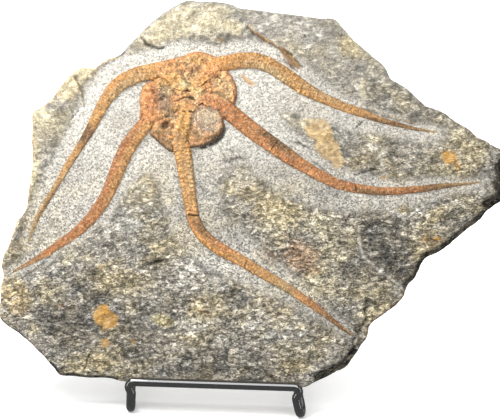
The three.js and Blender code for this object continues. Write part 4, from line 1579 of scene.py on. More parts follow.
@dataclass
class Slab:
    """The slab of mudstone.

    Attributes:
        frame: Where the slab lies.
        face: Heights and colours of its face.
        step: Distance between points round its outline.
        face_cell: Distance between points of its face.
        back_cell: Distance between points of its back.
        rounding: How far the back's rim is rounded off.
        set_back: How far the edge lies inside the outline.
        bevel: How much farther in it runs at the back.
        beds: Depths of the bedding planes that show in its edge.
        levels: How many rings of points the edge has.
    """

    frame: SlabFrame
    face: SlabFace
    step: float = 0.66
    face_cell: float = 0.62
    back_cell: float = 1.5
    rounding: float = 0.5
    set_back: float = 0.75
    bevel: float = 1.1
    beds: tuple[float, ...] = (1.7, 3.3, 5.4, 7.9, 9.2, 12.0, 13.9, 16.3, 18.4)
    levels: int = 24

    def outline(self) -> Array:
        """Gives the broken outline, counterclockwise, with small chips along it.

        Returns:
            Rows of (u, v).
        """
        loop = smooth_line(np.array(OUTLINE[::-1]), self.step, closed=True)
        normal = self.inward(loop, 3)
        run = np.arange(len(loop)) * self.step
        level = np.zeros_like(run)
        grain = Grain(5)
        chips = 0.42 * grain.rough(run, level, 5.0, 4) + 0.12 * grain.rough(run, level + 9.0, 1.3, 2)
        rail = ease(loop[:, 1], 1.2, 4.5)
        return loop + normal * (chips * (0.15 + 0.85 * rail))[:, None]

    @staticmethod
    def inward(loop: Array, reach: int) -> Array:
        """Gives the direction into the slab at each point of a counterclockwise loop.

        Args:
            loop: Rows of (u, v).
            reach: How many points on each side it is measured over.

        Returns:
            Directions of length 1.
        """
        along = np.zeros_like(loop)
        for k in range(1, reach + 1):
            along += np.roll(loop, -k, axis=0) - np.roll(loop, k, axis=0)
        along /= np.linalg.norm(along, axis=1)[:, None]
        return np.stack([-along[:, 1], along[:, 0]], axis=-1)

    @staticmethod
    def angle(u: Array, v: Array) -> Array:
        """Gives the direction from the slab's centre, in degrees."""
        return np.degrees(np.arctan2(v - SLAB_CENTRE[1], u - SLAB_CENTRE[0]))

    def rim(self, u: Array, v: Array, depth: Array, height: Array, tint: Array) -> tuple[Array, Array]:
        """Breaks the face down towards its rim, and colours the slopes, the darkest of them with painted
        shade.

        Args:
            u, v: Places across and up.
            depth: How far each place is inside the outline.
            height: Heights of the face.
            tint: Its colours.

        Returns:
            The new heights and colours.
        """
        angle = self.angle(u, v)
        ragged = Grain(71).rough(u, v, 4.0, 4)
        away = depth + 0.45 * ragged * ease(depth, 0.0, 0.8)
        for edge in BREAKS:
            share = edge.share(angle)
            width = edge.width * (1.0 + 0.55 * ragged)
            slope = (1.0 - ease(away, 0.0, width)) * share
            height = height + (-edge.depth - height) * slope
            tint = edge.tone.wash(tint, slope, 0.02, 0.2, 0.93)
        return height, tint

    def back_height(self, u: Array, v: Array) -> Array:
        """Height of the back, flat where the prop touches it.

        Args:
            u, v: Places across and up.

        Returns:
            Heights in millimetres, less than zero.
        """
        flat = ease(np.hypot(u - STAND_CENTRE_U, v - PROP_V), 26.0, 40.0)
        grain = Grain(91)
        surface = 1.3 + 1.3 * waves(v, u, 0.8) + 0.5 * grain.rough(u, v, 12.0, 4, 1.5, math.radians(60))
        stepped = split_beds(surface, 0.6, 0.55, 0.95)
        fine = 0.12 * grain.rough(u, v, 3.0, 3)
        return -THICKNESS + np.maximum(flat * (0.3 * surface + 0.7 * stepped) + fine, 0.0)

    def wall(self, loop: Array, top: Array, low: Array) -> Array:
        """Builds the rings of the broken edge.

        Args:
            loop: The outline as rows of (u, v).
            top: Height of the rim at each point.
            low: Height of the back's rim at each point.

        Returns:
            Rings of (u, v, w), from just under the face's rim to the back's rim.
        """
        normal = self.inward(loop, 9)
        run = np.arange(len(loop)) * self.step
        grain = Grain(53)
        bottom = 1.0 - ease(loop[:, 1], 3.5, 7.0)
        planes = np.array([0.0, *self.beds, THICKNESS + 1.0])
        rings = []
        for level in range(1, self.levels + 1):
            share = level / self.levels
            w = top + (low - top) * share
            wavy = -w + 0.25 * grain.rough(run, w, 9.0, 2)
            bed = np.searchsorted(planes, wavy) * 13.7
            offset = self.set_back + 0.8 * grain.rough(run + bed * 3.1, bed, 8.0, 4)
            offset = np.clip(offset, 0.0, 2.2) + 0.16 * np.abs(grain.rough(run, w * 2.2, 1.6, 2))
            back = self.bevel * ease(np.full_like(w, share), 0.82, 1.0)
            front = ease(np.full_like(w, share), 0.0, 0.1)
            inset = (offset * front + back) * (1.0 - 0.85 * bottom)
            ring = loop + normal * inset[:, None]
            lift = -w * math.tan(LEAN) * bottom + 0.25 * bottom * np.abs(grain.rough(run, w, 3.0, 3))
            rings.append(np.stack([ring[:, 0], ring[:, 1] + lift, w], axis=-1))
        return np.stack(rings)

    def wall_tint(self, rings: Array) -> Array:
        """Colours the edge bed by bed, with painted shade under the darkest breaks.

        Args:
            rings: Rings of (u, v, w).

        Returns:
            A colour for each place.
        """
        grain = Grain(61)
        u, v, w = rings[..., 0], rings[..., 1], rings[..., 2]
        across = u - v
        band = grain.rough(-w * 1.0, across * 0.02, 2.2, 3)
        cloud = grain.rough(across, w * 2.0, 12.0, 4)
        tint = GREY.sheet(w.shape)
        tint = SLATE.wash(tint, band, -0.2, 0.5, 0.8)
        tint = KHAKI.wash(tint, cloud + 0.5 * band, 0.0, 0.6, 0.7)
        tint = RUST.wash(tint, cloud - band, 0.45, 0.9, 0.5)
        angle = self.angle(u, v)
        # painted shade on the edge below the darkest breaks of the rim
        for edge in BREAKS:
            if edge.tone is DEEP_SHADE:
                tint = SHADOW.over(tint, edge.share(angle) * 0.8)
        return tint

    def back_tint(self, u: Array, v: Array) -> Array:
        """Colours the back: grey and khaki, with rusty clouds.

        Args:
            u, v: Places across and up.

        Returns:
            A colour for each place.
        """
        grain = Grain(83)
        broad = grain.rough(u, v, 24.0, 5)
        fine = grain.rough(u, v, 7.0, 5)
        tint = GREY.sheet(u.shape)
        tint = KHAKI.wash(tint, broad, -0.1, 0.5, 0.8)
        tint = SLATE.wash(tint, fine - broad, 0.1, 0.8, 0.6)
        return RUST.wash(tint, fine + broad, 0.7, 1.1, 0.45)

    def build(self, finish: RockFinish) -> Piece:
        """Builds the slab and puts it in place of its solid.

        Args:
            finish: Its finish.

        Returns:
            The slab.
        """
        loop = self.outline()
        points, faces, depth = fill_loop(loop, self.face_cell, 3)
        u, v = points.T
        height, tint = self.rim(u, v, depth, self.face.height.at(u, v), self.face.tint.at(u, v))
        count = len(loop)
        normal = self.inward(loop, 9)
        inner = loop + normal * 1.9
        low = self.back_height(*inner.T) + self.rounding
        rings = self.wall(loop, height[:count], low)
        back_loop = rings[-1, :, :2]
        back_points, back_faces, back_depth = fill_loop(back_loop, self.back_cell, 4)
        back_w = self.back_height(*back_points.T) + self.rounding * (1.0 - ease(back_depth, 0.0, 2.0))
        back_w[:count] = rings[-1, :, 2]
        front = np.column_stack([points, height])
        back = np.column_stack([back_points, back_w])
        places, triangles = close_plate(front, faces, rings[:-1], back, back_faces)
        middle = rings[:-1].reshape(-1, 3)
        wall_tint = self.wall_tint(rings[:-1]).reshape(-1, 3)
        hollow_shade = [self.face.hollow_shade.at(u, v), np.zeros(len(middle)), np.zeros(len(back))]
        plain = np.zeros(len(middle) + len(back))
        values = {
            "tint": np.vstack([tint, wall_tint, self.back_tint(*back_points.T)]),
            "hollow_shade": np.concatenate(hollow_shade),
            "prepared": np.concatenate([self.face.prepared.at(u, v), plain]),
            "crust": np.concatenate([self.face.crust.at(u, v), plain]),
        }
        piece = make_mesh("mudstone_slab", self.frame.to_part(places), triangles, values)
        piece.data.materials.append(finish.material())
        place_piece(piece, "rock", "slab")
        return piece


# ---- Fossil ----


@dataclass
class Arm:
    """One arm of the star: a low bar built of two staggered rows of plates.

    Attributes:
        plan: Where the arm lies.
        frame: Where the slab lies.
        pitch: Distance from one plate to the next in a row.
        voxel: Size of the finest detail that is kept when its plates are fused.
        overlap: How far the arm runs on into the disc.
        yaw: How far each plate is turned from the arm's line.
        flatness: Height of its core for each unit of its half width.
        rise: How much higher than its plates were made it stands.
        sunk: How far its base lies under the prepared ground.
    """

    plan: ArmPlan
    frame: SlabFrame
    pitch: float = 1.6
    voxel: float = 0.24
    overlap: float = 4.5
    yaw: float = math.radians(16)
    flatness: float = 0.56
    rise: float = 1.12
    sunk: float = 0.35

    CRACKS = (
        Crack(((-9.4, 67.4), (-5.6, 67.0)), 0.35, 0.9), Crack(((56.6, 80.4), (57.2, 77.0)), 0.35, 0.5),
        Crack(((24.0, 94.2), (26.6, 97.4)), 0.5, 0.5), Crack(((14.4, 50.4), (12.6, 46.6)), 0.35, 0.5),
    )

    def centre(self) -> Array:
        """Gives the centre line with its start pushed into the disc.

        Returns:
            Rows of (u, v, half width).
        """
        line = self.plan.centre_line(0.4)
        along = line[0, :2] - line[1, :2]
        along /= np.linalg.norm(along)
        start = np.array([[*(line[0, :2] + along * self.overlap), line[0, 2]]])
        return np.vstack([start, line])

    def plates(
        self, tree: Tree, points: Socket, half: Socket, turn: Socket, side: int, lateral: bool, seed: object
    ) -> Socket:
        """Adds one row of plates to the tree.

        Args:
            tree: The tree.
            points: The points that the plates stand on, two to a pitch.
            half: Half width at each point.
            turn: Rotation along the arm at each point.
            side: 1 for the left row, -1 for the right.
            lateral: Whether this is an outer row of small side plates.
            seed: Start of the random draw.

        Returns:
            The row's instances.
        """
        order = self.plan.order
        reach, wide, high, up = (0.8, 0.22, 0.14, 0.1) if lateral else (0.42, 0.5, 0.2 + 0.1 * order, 0.32)
        loose = 0.1 + 0.4 * (1.0 - order)
        stray = loose * (0.4 if lateral else 1.0) * MM
        along = self.pitch * (0.5 if lateral else 0.6)
        index = tree.add("GeometryNodeInputIndex").outputs[0]
        chosen = tree.math("COMPARE", tree.math("MODULO", index, 2.0), 0.0 if side > 0 else 1.0)
        plate = tree.add("GeometryNodeMeshUVSphere", {"Segments": 8, "Rings": 5, "Radius": 1.0}).outputs[0]
        sizes = {2: 1.0 - loose, 3: 1.0 + 0.6 * loose, "Seed": seed}
        jitter = tree.add("FunctionNodeRandomValue", sizes, data_type="FLOAT").outputs[1]
        sway = {0: (-stray,) * 3, 1: (stray, stray, 0.2 * stray), "Seed": seed}
        drift = tree.add("FunctionNodeRandomValue", sway, data_type="FLOAT_VECTOR").outputs[0]
        size = tree.add("ShaderNodeCombineXYZ", {
            0: tree.product(jitter, along * MM), 1: tree.product(half, wide),
            2: tree.product(half, high, jitter),
        }).outputs[0]
        shift = tree.add("ShaderNodeCombineXYZ", {
            0: 0.0, 1: tree.product(half, side * reach), 2: tree.product(half, up),
        }).outputs[0]
        aside = tree.add("FunctionNodeRotateVector", {0: shift, 1: turn}).outputs[0]
        offset = tree.vector("ADD", {0: aside, 1: drift})
        row = tree.add("GeometryNodeSetPosition", {"Geometry": points, "Offset": offset}).outputs[0]
        placed = tree.add("GeometryNodeInstanceOnPoints", {
            "Points": row, "Selection": chosen, "Instance": plate, "Rotation": turn, "Scale": size,
        }).outputs[0]
        yaw = (0.0, 0.0, -side * self.yaw)
        return tree.add("GeometryNodeRotateInstances", {"Instances": placed, "Rotation": yaw}).outputs[0]

    def tree(self) -> Tree:
        """Writes the geometry tree: a rounded core swept along the arm, and the rows of plates on it.

        Returns:
            The tree.
        """
        kinds = {"Centre line": "Geometry", "Pitch": "Float", "Seed": "Int", "Finish": "Material"}
        tree = new_group("arm_plates", kinds, "Arm")
        given = tree.add("NodeGroupInput").outputs
        curve = tree.add("GeometryNodeMeshToCurve", {"Mesh": given["Centre line"]}).outputs[0]
        half = tree.stored("half_width", "FLOAT")
        upright = tree.add("GeometryNodeSetCurveNormal", {"Curve": curve}, mode="Z_UP").outputs[0]
        ring = tree.add("GeometryNodeCurvePrimitiveCircle", {"Resolution": 20, "Radius": 1.0}).outputs[0]
        flat = {"Geometry": ring, "Scale": (1.0, self.flatness, 1.0)}
        oval = tree.add("GeometryNodeTransform", flat).outputs[0]
        core = tree.add("GeometryNodeCurveToMesh", {
            "Curve": upright, "Profile Curve": oval, "Scale": half, "Fill Caps": True,
        }).outputs[0]
        spacing = {"Curve": upright, "Length": tree.product(given["Pitch"], 0.5)}
        spaced = tree.add("GeometryNodeResampleCurve", spacing, mode="LENGTH").outputs[0]
        tangent = tree.add("GeometryNodeInputTangent").outputs[0]
        turn = tree.add("FunctionNodeAlignRotationToVector", {"Vector": tangent}, axis="X").outputs[0]
        turned = tree.add("GeometryNodeStoreNamedAttribute", {
            "Geometry": spaced, "Name": "turn", "Value": turn,
        }, data_type="QUATERNION", domain="POINT").outputs[0]
        points = tree.add("GeometryNodeCurveToPoints", {"Curve": turned}, mode="EVALUATED").outputs[0]
        facing = tree.stored("turn", "QUATERNION")
        rows = [
            self.plates(tree, points, half, facing, side, lateral, given["Seed"])
            for lateral in (False, True) for side in (1, -1)
        ]
        joined = tree.add("GeometryNodeJoinGeometry")
        for row in [core, *rows]:
            tree.feed(joined.inputs[0], row)
        tree.end(joined.outputs[0], given["Finish"])
        return tree

    def build(self, finish: Material, seed: int) -> Piece:
        """Builds the arm, colours it and puts it in place of its solid.

        Args:
            finish: The fossil's material.
            seed: Start of the arm's random draws.

        Returns:
            The finished arm.
        """
        line = self.centre()
        flat = np.column_stack([line[:, :2] * MM, np.zeros(len(line))])
        source = run_along(
            self.plan.node + "_line", flat, {"half_width": line[:, 2] * MM}, self.tree(),
            {"Pitch": self.pitch * MM, "Seed": seed, "Finish": finish},
        )
        fused = source.modifiers.new("fuse", "REMESH")
        fused.mode = "VOXEL"
        fused.voxel_size = self.voxel * MM
        fused.use_smooth_shade = True
        solid = plain_copy(source, self.plan.node.replace("arm", "star_arm"))
        self.finish_surface(solid, line, seed)
        solid.data.materials.clear()
        solid.data.materials.append(finish)
        place_piece(solid, "fossil", self.plan.node)
        return solid

    def finish_surface(self, piece: Piece, line: Array, seed: int) -> None:
        """Roughens and colours the fused arm, with painted shade in its grooves and painted highlight on its
        plates, a darker painted side towards the key light and a lighter one away from it, and lays it on the
        slab.

        Args:
            piece: The arm, flat in its own plane, in metres.
            line: Its centre line.
            seed: Start of the random draws.
        """
        mesh = piece.data
        places = read_places(mesh) / MM
        u, v, w = places.T
        signed, station, run = line_distance(u, v, line[:, :2])
        half = np.interp(station, np.arange(len(line)), line[:, 2])
        across = np.clip(signed / np.maximum(half, 0.2), -1.2, 1.2)
        grain = Grain(100 + seed)
        core = self.flatness * half * np.sqrt(np.clip(1.0 - across**2, 0.0, 1.0))
        # painted shade in the grooves and low parts of the arm, and painted highlight on its raised plates
        hollow_shade = np.clip((w - core) / (0.1 + 0.12 * half) - 0.35, -1.0, 1.0)
        top = ease(w, 0.05, 0.5)
        rough = (0.34 - 0.14 * self.plan.order) * grain.rough(u, v, 1.1, 3) + 0.2 * grain.rough(u, v, 3.4, 3)
        phase = run / (0.62 * self.pitch) + 0.5 * grain.rough(u, v, 2.0, 2)
        seam = np.cos(2 * np.pi * phase + 1.2 * across)
        hollow_shade = np.clip(hollow_shade + 1.6 * rough - 0.24 * seam + 0.06, -1.0, 1.0)
        w = w + rough * top * np.clip(half, 0.4, 2.0) / 1.6
        w = w + self.damage(u, v)
        w = w * (0.15 + 0.85 * ease(run, 0.0, 0.8 * self.overlap))
        lifted = np.maximum(FLOOR_W + 0.05 + w * self.rise, FLOOR_W - self.sunk)
        share = np.clip((run - self.overlap) / (run.max() - self.overlap), 0.0, 1.0)
        along = np.diff(line[:, :2], axis=0)[np.clip(station.astype(int), 0, len(line) - 2)]
        along /= np.linalg.norm(along, axis=1)[:, None]
        # painted shade on the side that faces the key light and painted light on the far side, evening out
        # the lamp's shading
        facing_key_light = across * (along[:, 0] * KEY_LIGHT_SIDE[1] - along[:, 1] * KEY_LIGHT_SIDE[0])
        tint = self.colours(u, v, share, across, grain) * (0.93 - 0.16 * facing_key_light)[:, None]
        placed = self.frame.to_part(np.column_stack([u, v, lifted]))
        mesh.vertices.foreach_set("co", placed.ravel())
        mesh.update()
        mesh.shade_smooth()
        set_values(mesh, {"tint": tint, "hollow_shade": hollow_shade})

    def damage(self, u: Array, v: Array) -> Array:
        """Cuts the breaks that cross the arms.

        Args:
            u, v: Places across and up.

        Returns:
            How far each place is lowered, in millimetres below zero.
        """
        cut = np.zeros_like(u)
        for crack in self.CRACKS:
            signed, _, _ = line_distance(u, v, np.array(crack.points))
            cut -= crack.depth * bell(signed, crack.width)
        return cut

    def colours(self, u: Array, v: Array, share: Array, across: Array, grain: Grain) -> Array:
        """Colours the arm along its length and from side to side.

        Args:
            u, v: Places across and up the slab.
            share: Places along the arm, from 0 to 1.
            across: Places across the arm, from -1 on its right to 1 on its left.
            grain: Noise for the patches.

        Returns:
            A colour for each place.
        """
        stations = [station for station, _, _ in self.plan.tones]
        wander = 0.05 * grain.rough(u, v, 5.0, 3)

        def run(side: int) -> Array:
            """Reads the tones of one side, 1 for the left and 2 for the right."""
            table = np.array([row[side].linear for row in self.plan.tones])
            return np.stack([np.interp(share + wander, stations, table[:, k]) for k in range(3)], axis=-1)

        left, right = run(1), run(2)
        tint = mix(right, left, ease(across + 0.5 * grain.rough(u, v, 3.0, 3), -0.45, 0.45))
        tint = UMBER.wash(tint, grain.rough(u, v, 2.4, 4), 0.35, 0.8, 0.45)
        tint = BUFF.wash(tint, -grain.rough(u, v, 2.8, 4), 0.2, 0.7, 0.5)
        # painted shade in the breaks that cross the arm
        return tint * (1.0 - 0.55 * ease(-self.damage(u, v), 0.1, 0.5))[:, None]


@dataclass
class Disc:
    """The star's disc, seen from its underside: the mouth, and five ridges that run out to the arms.

    Attributes:
        frame: Where the slab lies.
        cell: Distance between points of its surface.
        height: Height above the prepared ground.
        ridge_height: How far the ridges stand above that.
        ridge_width: Their half width.
        pitch: Distance between the plates of a ridge.
        lobe: Middle, radius and rise of the smooth lobe.
        step: Distance between points round its rim.
        base_cell: Distance between points of its flat base.
        sunk: How far that lies under the prepared ground.
        chart_cell: Distance between the places that its hollows are found on.
    """

    frame: SlabFrame
    cell: float = 0.27
    height: float = 1.8
    ridge_height: float = 0.6
    ridge_width: float = 2.8
    pitch: float = 1.5
    lobe: tuple[float, float, float, float] = (-2.2, 104.4, 6.8, 1.1)
    step: float = 0.3
    base_cell: float = 1.6
    sunk: float = 0.4
    chart_cell: float = 0.25

    TOP = (
        (-21.2, 128.6), (-17.2, 129.8), (-12, 131), (-9.2, 132.2), (-5.2, 132.6), (-2, 131.8), (1.6, 130.6),
    )
    RIGHT = ((7.6, 122.6), (9.2, 119), (9.4, 114.6))
    LOWER_RIGHT = ((4.7, 102.8), (3.2, 99.4), (0.6, 97), (-3, 95.3), (-6.4, 94.4))
    LOWER_LEFT = ((-17.2, 92.6), (-20.4, 95.0), (-23.2, 97.6), (-25.6, 99.9))
    LEFT = ((-29.3, 109), (-29.6, 113), (-28.8, 117), (-27.2, 120))

    CRACKS = (
        Crack(((-11.4, 116.8), (-10.2, 117.2), (-9, 116.6)), 0.4, 0.9, BROWN),
        Crack(((-9.6, 114.2), (-8.6, 113.8), (-7.6, 113.2)), 0.6, 1.3),
        Crack(((-5.6, 111.0), (-4.4, 111.5), (-3.2, 111.3)), 0.35, 0.7),
        Crack(((-9.8, 108.6), (-8.6, 108.7), (-7.6, 108.2)), 0.4, 0.7, BROWN),
        Crack(((-12.2, 108.7), (-11.2, 108.5)), 0.35, 0.6, BROWN),
        Crack(((0.6, 121.8), (1.8, 122.3), (2.8, 122.0)), 0.3, 0.5, BROWN),
        Crack(((8.2, 116.6), (8.9, 114.2), (8.4, 111.8)), 0.35, 0.7, SLATE),
        Crack(((-6.4, 108.8), (-6.8, 106.6), (-6.4, 104.6)), 0.35, 0.4, UMBER),
        Crack(((-16, 112.4), (-13.4, 113.4), (-10.6, 114.6)), 0.35, 0.5, UMBER),
        Crack(((-17, 118.2), (-14, 117.2), (-11.8, 116.4)), 0.3, 0.4, UMBER),
        Crack(((-5.4, 118.4), (-3.6, 119.8), (-2, 121)), 0.3, 0.5, UMBER),
    )
    PATCHES = tuple(Patch(*row) for row in (
        (ORANGE, -25.4, 111, 3.2, 9.5, 0, 0.9), (BRICK, -24.6, 114, 3.0, 8, -8, 0.85),
        (SLATE, -19.5, 113.5, 3.4, 6.5, 10, 0.5), (BROWN, -16.5, 108.5, 3, 4, 0, 0.4),
        (TAN, -17, 117, 3, 2.4, 20, 0.5), (RUST, -19.6, 103, 3.8, 3, 0, 0.6),
        (GOLD, -21, 98.6, 4.4, 2, -38, 0.7), (AMBER, -18, 121, 6, 2.2, 12, 0.55),
        (ORANGE, -19, 126, 6, 2.2, 14, 0.6), (GOLD, -5.6, 129.5, 3.8, 2.6, 0, 0.8),
        (BROWN, -8, 125.2, 3.6, 2.2, 15, 0.4), (ORANGE, 0, 124.8, 6.4, 2.6, 15, 0.75),
        (BUFF, 5, 118.4, 3.4, 4, 0, 0.8), (BRICK, 1.8, 111, 4.6, 2.6, -40, 0.9),
        (GREY, -2.4, 105, 6.4, 6.2, 0, 0.6), (CREAM, -2.6, 107, 4, 3, 0, 0.35),
        (AMBER, -11.4, 102, 2.6, 8, 6, 0.75), (STRAW, -11.5, 119.5, 3, 2, 0, 0.7),
        (CREAM, -11.6, 119.6, 1, 0.8, 0, 0.8), (STRAW, -6.5, 117, 2.6, 2.4, 0, 0.6),
        # painted shadow along the lower right rim, over its brown
        (BROWN, 1.0, 97.8, 7.6, 2.4, 34, 0.9), (SHADOW, 1.6, 97.2, 7.0, 2.2, 36, 0.6),
        (UMBER, -21.0, 97.8, 7, 2.8, -38, 0.85), (BROWN, -22.4, 96.2, 6, 1.4, -38, 0.6),
        (UMBER, -9.4, 98.5, 6, 4.5, 0, 0.45), (SHADOW, -19.2, 103.3, 1.7, 1.0, 35, 0.6),
        (BRICK, -21.4, 104.8, 2.2, 2.0, 0, 0.5), (BROWN, -18.0, 100.6, 2.4, 1.4, -30, 0.5),
        (SLATE, -20.0, 112.0, 2.2, 5.0, 5, 0.35),
    ))
    PIT = Patch(SHADOW, -19.0, 103.2, 2.5, 1.5, 35, 0.85)
    BAND = Patch(ORANGE, -26.2, 111.5, 2.4, 8.0, 0, 1.0)

    def rim(self) -> Array:
        """Gives the disc's outline, counterclockwise, running across the root of each arm.

        Returns:
            Rows of (u, v).
        """
        root = {plan.node: plan.root_corners() for plan in ARM_PLANS}
        clockwise = [
            root["arm_upper_left"][1], *self.TOP, *root["arm_upper_right"], *self.RIGHT,
            *root["arm_right"], *self.LOWER_RIGHT, *root["arm_front"], *self.LOWER_LEFT,
            *root["arm_left"], *self.LEFT, root["arm_upper_left"][0],
        ]
        loop = smooth_line(np.array(clockwise[::-1]), self.step, closed=True)
        run = np.arange(len(loop)) * self.step
        chips = 0.32 * Grain(7).rough(run, np.zeros_like(run), 2.4, 4)
        return loop + Slab.inward(loop, 3) * chips[:, None]

    def surface(self, points: Array, depth: Array) -> tuple[Array, Array]:
        """Shapes and colours the disc.

        Args:
            points: Rows of (u, v).
            depth: How far each point is inside the rim.

        Returns:
            The height of each point above the prepared ground, and its colour.
        """
        u, v = points.T
        grain = Grain(19)
        fray = 0.8 * grain.rough(u, v, 2.6, 4)
        rise = np.sqrt(np.clip(1.0 - (1.0 - np.clip(depth / (1.0 + np.abs(fray)), 0.0, 1.0)) ** 2, 0.0, 1.0))
        away = np.hypot(u - MOUTH[0], v - MOUTH[1])
        turn = np.arctan2(v - MOUTH[1], u - MOUTH[0])
        leaves = np.abs(grain.rough(turn * 4.2, away * 0.22, 1.0, 4)) - 0.28
        crumple = 0.55 * grain.rough(u, v, 2.3, 5) + 0.45 * np.abs(grain.rough(v, u, 1.5, 4)) - 0.13
        inner = ease(away, 1.5, 5.0) * (1.0 - ease(away, 13.0, 18.0))
        body = self.height + 0.75 * leaves * inner + crumple
        tint = BUFF.sheet(u.shape)
        tint = ORANGE.wash(tint, grain.rough(u, v, 4.0, 4), -0.35, 0.3, 0.85)
        tint = ORANGE.over(tint, bell(np.maximum(depth - fray, 0.0), 1.8) * 0.8)
        tint = BROWN.wash(tint, -leaves * inner, 0.1, 0.26, 0.4)
        joined = np.zeros(len(u))
        for plan in ARM_PLANS:
            signed, length, run = self.ridge(u, v, plan)
            near = np.exp(-((signed / self.ridge_width) ** 4)) * ease(run, 1.2, 5.0)
            phase = run / self.pitch + 0.25 * np.sign(signed) + (1.0 - plan.order) * grain.rough(u, v, 3.0, 2)
            notch = (0.5 - 0.5 * np.cos(2 * np.pi * phase)) * (0.05 + 0.3 * plan.order)
            middle = 0.3 * plan.order * bell(signed, 0.45)
            high = self.ridge_height * (1.0 - ease(run, length - 7.0, length))
            ridge = self.height + high * (1.0 - notch - middle) + (0.95 - 0.5 * plan.order) * crumple
            body = body + (ridge - body) * near
            border = 0.14 * bell(np.abs(signed) - self.ridge_width * 1.2, 0.5)
            body = body - border * ease(run, 2.0, 5.0) * (1.0 - ease(run, length - 5.0, length - 2.0))
            own = mix(plan.tones[0][2].linear, plan.tones[0][1].linear, ease(signed, -1.5, 1.5))
            tint = tint + (own - tint) * (near * 0.85)[:, None]
            tint = UMBER.over(tint, near * notch * 0.9)
            half = plan.stations[0][2]
            round_top = np.sqrt(np.clip(1.0 - (signed / half) ** 2, 0.0, 1.0))
            profile = 0.58 * half * round_top - 0.05 + 0.35 * crumple
            joint = ease(run, length - 4.0, length - 0.5) * (np.abs(signed) < half * 1.02)
            body = body + (profile - body) * joint
            joined = np.maximum(joined, joint)
            rise = np.maximum(rise, joint)
        cu, cv, radius, lift = self.lobe
        swell = np.clip(1.0 - (np.hypot(u - cu, v - cv) / radius) ** 2, 0.0, 1.0)
        smooth = self.height + lift * np.sqrt(swell) + 0.5 * crumple
        body = body + (smooth - body) * ease(swell, 0.0, 0.5) * 0.75
        ragged = grain.rough(u + 30.0, v, 2.4, 4)
        for patch in self.PATCHES:
            tint = patch.tone.over(tint, patch.cover(u, v, ragged))
        tint = UMBER.wash(tint, grain.rough(v, u, 2.0, 4), 0.25, 0.7, 0.5)
        tint = STRAW.wash(tint, grain.rough(v + 9.0, u, 1.6, 4), 0.3, 0.8, 0.5)
        below = ease(0.4 * (u - MOUTH[0]) - (v - MOUTH[1]), 8.0, 16.0) * (1.0 - joined)
        skirt = bell(np.maximum(depth - 0.5 * np.abs(fray), 0.0), 1.2)
        tint = BROWN.over(tint, 0.85 * below * skirt)
        pit = self.PIT.cover(u, v, 0.5 * ragged)
        body = body - 1.3 * pit - 0.7 * bell(away, 1.4) + 0.45 * self.BAND.cover(u, v, ragged)
        wander = 0.55 * grain.rough(u, v, 1.8, 4)
        for crack in self.CRACKS:
            cut = crack.cut(u, v, wander, 0.4)
            body = body - crack.depth * cut
            tint = crack.tone.over(tint, 0.75 * cut)
        return np.maximum(body, 0.5) * rise, tint * 0.95

    @staticmethod
    def ridge(u: Array, v: Array, plan: ArmPlan) -> tuple[Array, float, Array]:
        """Measures places from the ridge that leads from the mouth into an arm.

        Args:
            u, v: Places across and up.
            plan: The arm.

        Returns:
            Distances to the ridge's line, its length, and how far along it each place is.
        """
        stations = np.array(plan.stations)[:2, :2]
        inward = stations[0] - stations[1]
        inward /= np.linalg.norm(inward)
        line = smooth_line(np.array([MOUTH, stations[0] + 5.0 * inward, stations[0]]), 0.8)
        signed, _, run = line_distance(u, v, line)
        return signed, float(np.hypot(*np.diff(line, axis=0).T).sum()), run

    def build(self, finish: Material) -> Piece:
        """Builds the disc and puts it in place of its solid.

        Args:
            finish: The fossil's material.

        Returns:
            The disc.
        """
        loop = self.rim()
        points, faces, depth = fill_loop(loop, self.cell, 8)
        height, tint = self.surface(points, depth)
        low, high = points.min(axis=0) - 2.0, points.max(axis=0) + 2.0
        u, v = np.meshgrid(*(np.arange(a, b, self.chart_cell) for a, b in zip(low, high)))
        grid = np.stack([u.ravel(), v.ravel()], axis=-1)
        inside, grid_depth = inside_and_depth(grid, loop)
        grid_height, _ = self.surface(grid, np.where(inside, grid_depth, 0.0))
        chart = Chart(tuple(low), self.chart_cell, grid_height.reshape(u.shape))
        # painted shade in the hollows and along the rim, and painted highlight on the rises
        hollow_shade = np.clip((height - chart.softened(0.9).at(*points.T)) / 0.24, -1.0, 1.0)
        hollow_shade = hollow_shade * ease(depth, 0.6, 2.4) - 0.5 * np.exp(-depth / 0.5)
        front = np.column_stack([points, FLOOR_W - 0.05 + height])
        base_points, base_faces, _ = fill_loop(loop, self.base_cell, 9)
        base = np.column_stack([base_points, np.full(len(base_points), FLOOR_W - self.sunk)])
        places, triangles = close_plate(front, faces, np.zeros((0, len(loop), 3)), base, base_faces)
        under = BROWN.sheet((len(base),))
        values = {"tint": np.vstack([tint, under]), "hollow_shade": np.concatenate([hollow_shade, np.zeros(len(base))])}
        piece = make_mesh("star_disc_underside", self.frame.to_part(places), triangles, values)
        piece.data.materials.append(finish)
        place_piece(piece, "fossil", "star_disc")
        return piece


# ---- Stand ----


@dataclass(frozen=True)
class Bend:
    """A corner of a wire's route.

    Attributes:
        place: The corner, in millimetres from the stand's middle.
        radius: Radius of the bend there, or 0 at an end.
    """

    place: Triple
    radius: float = 0.0


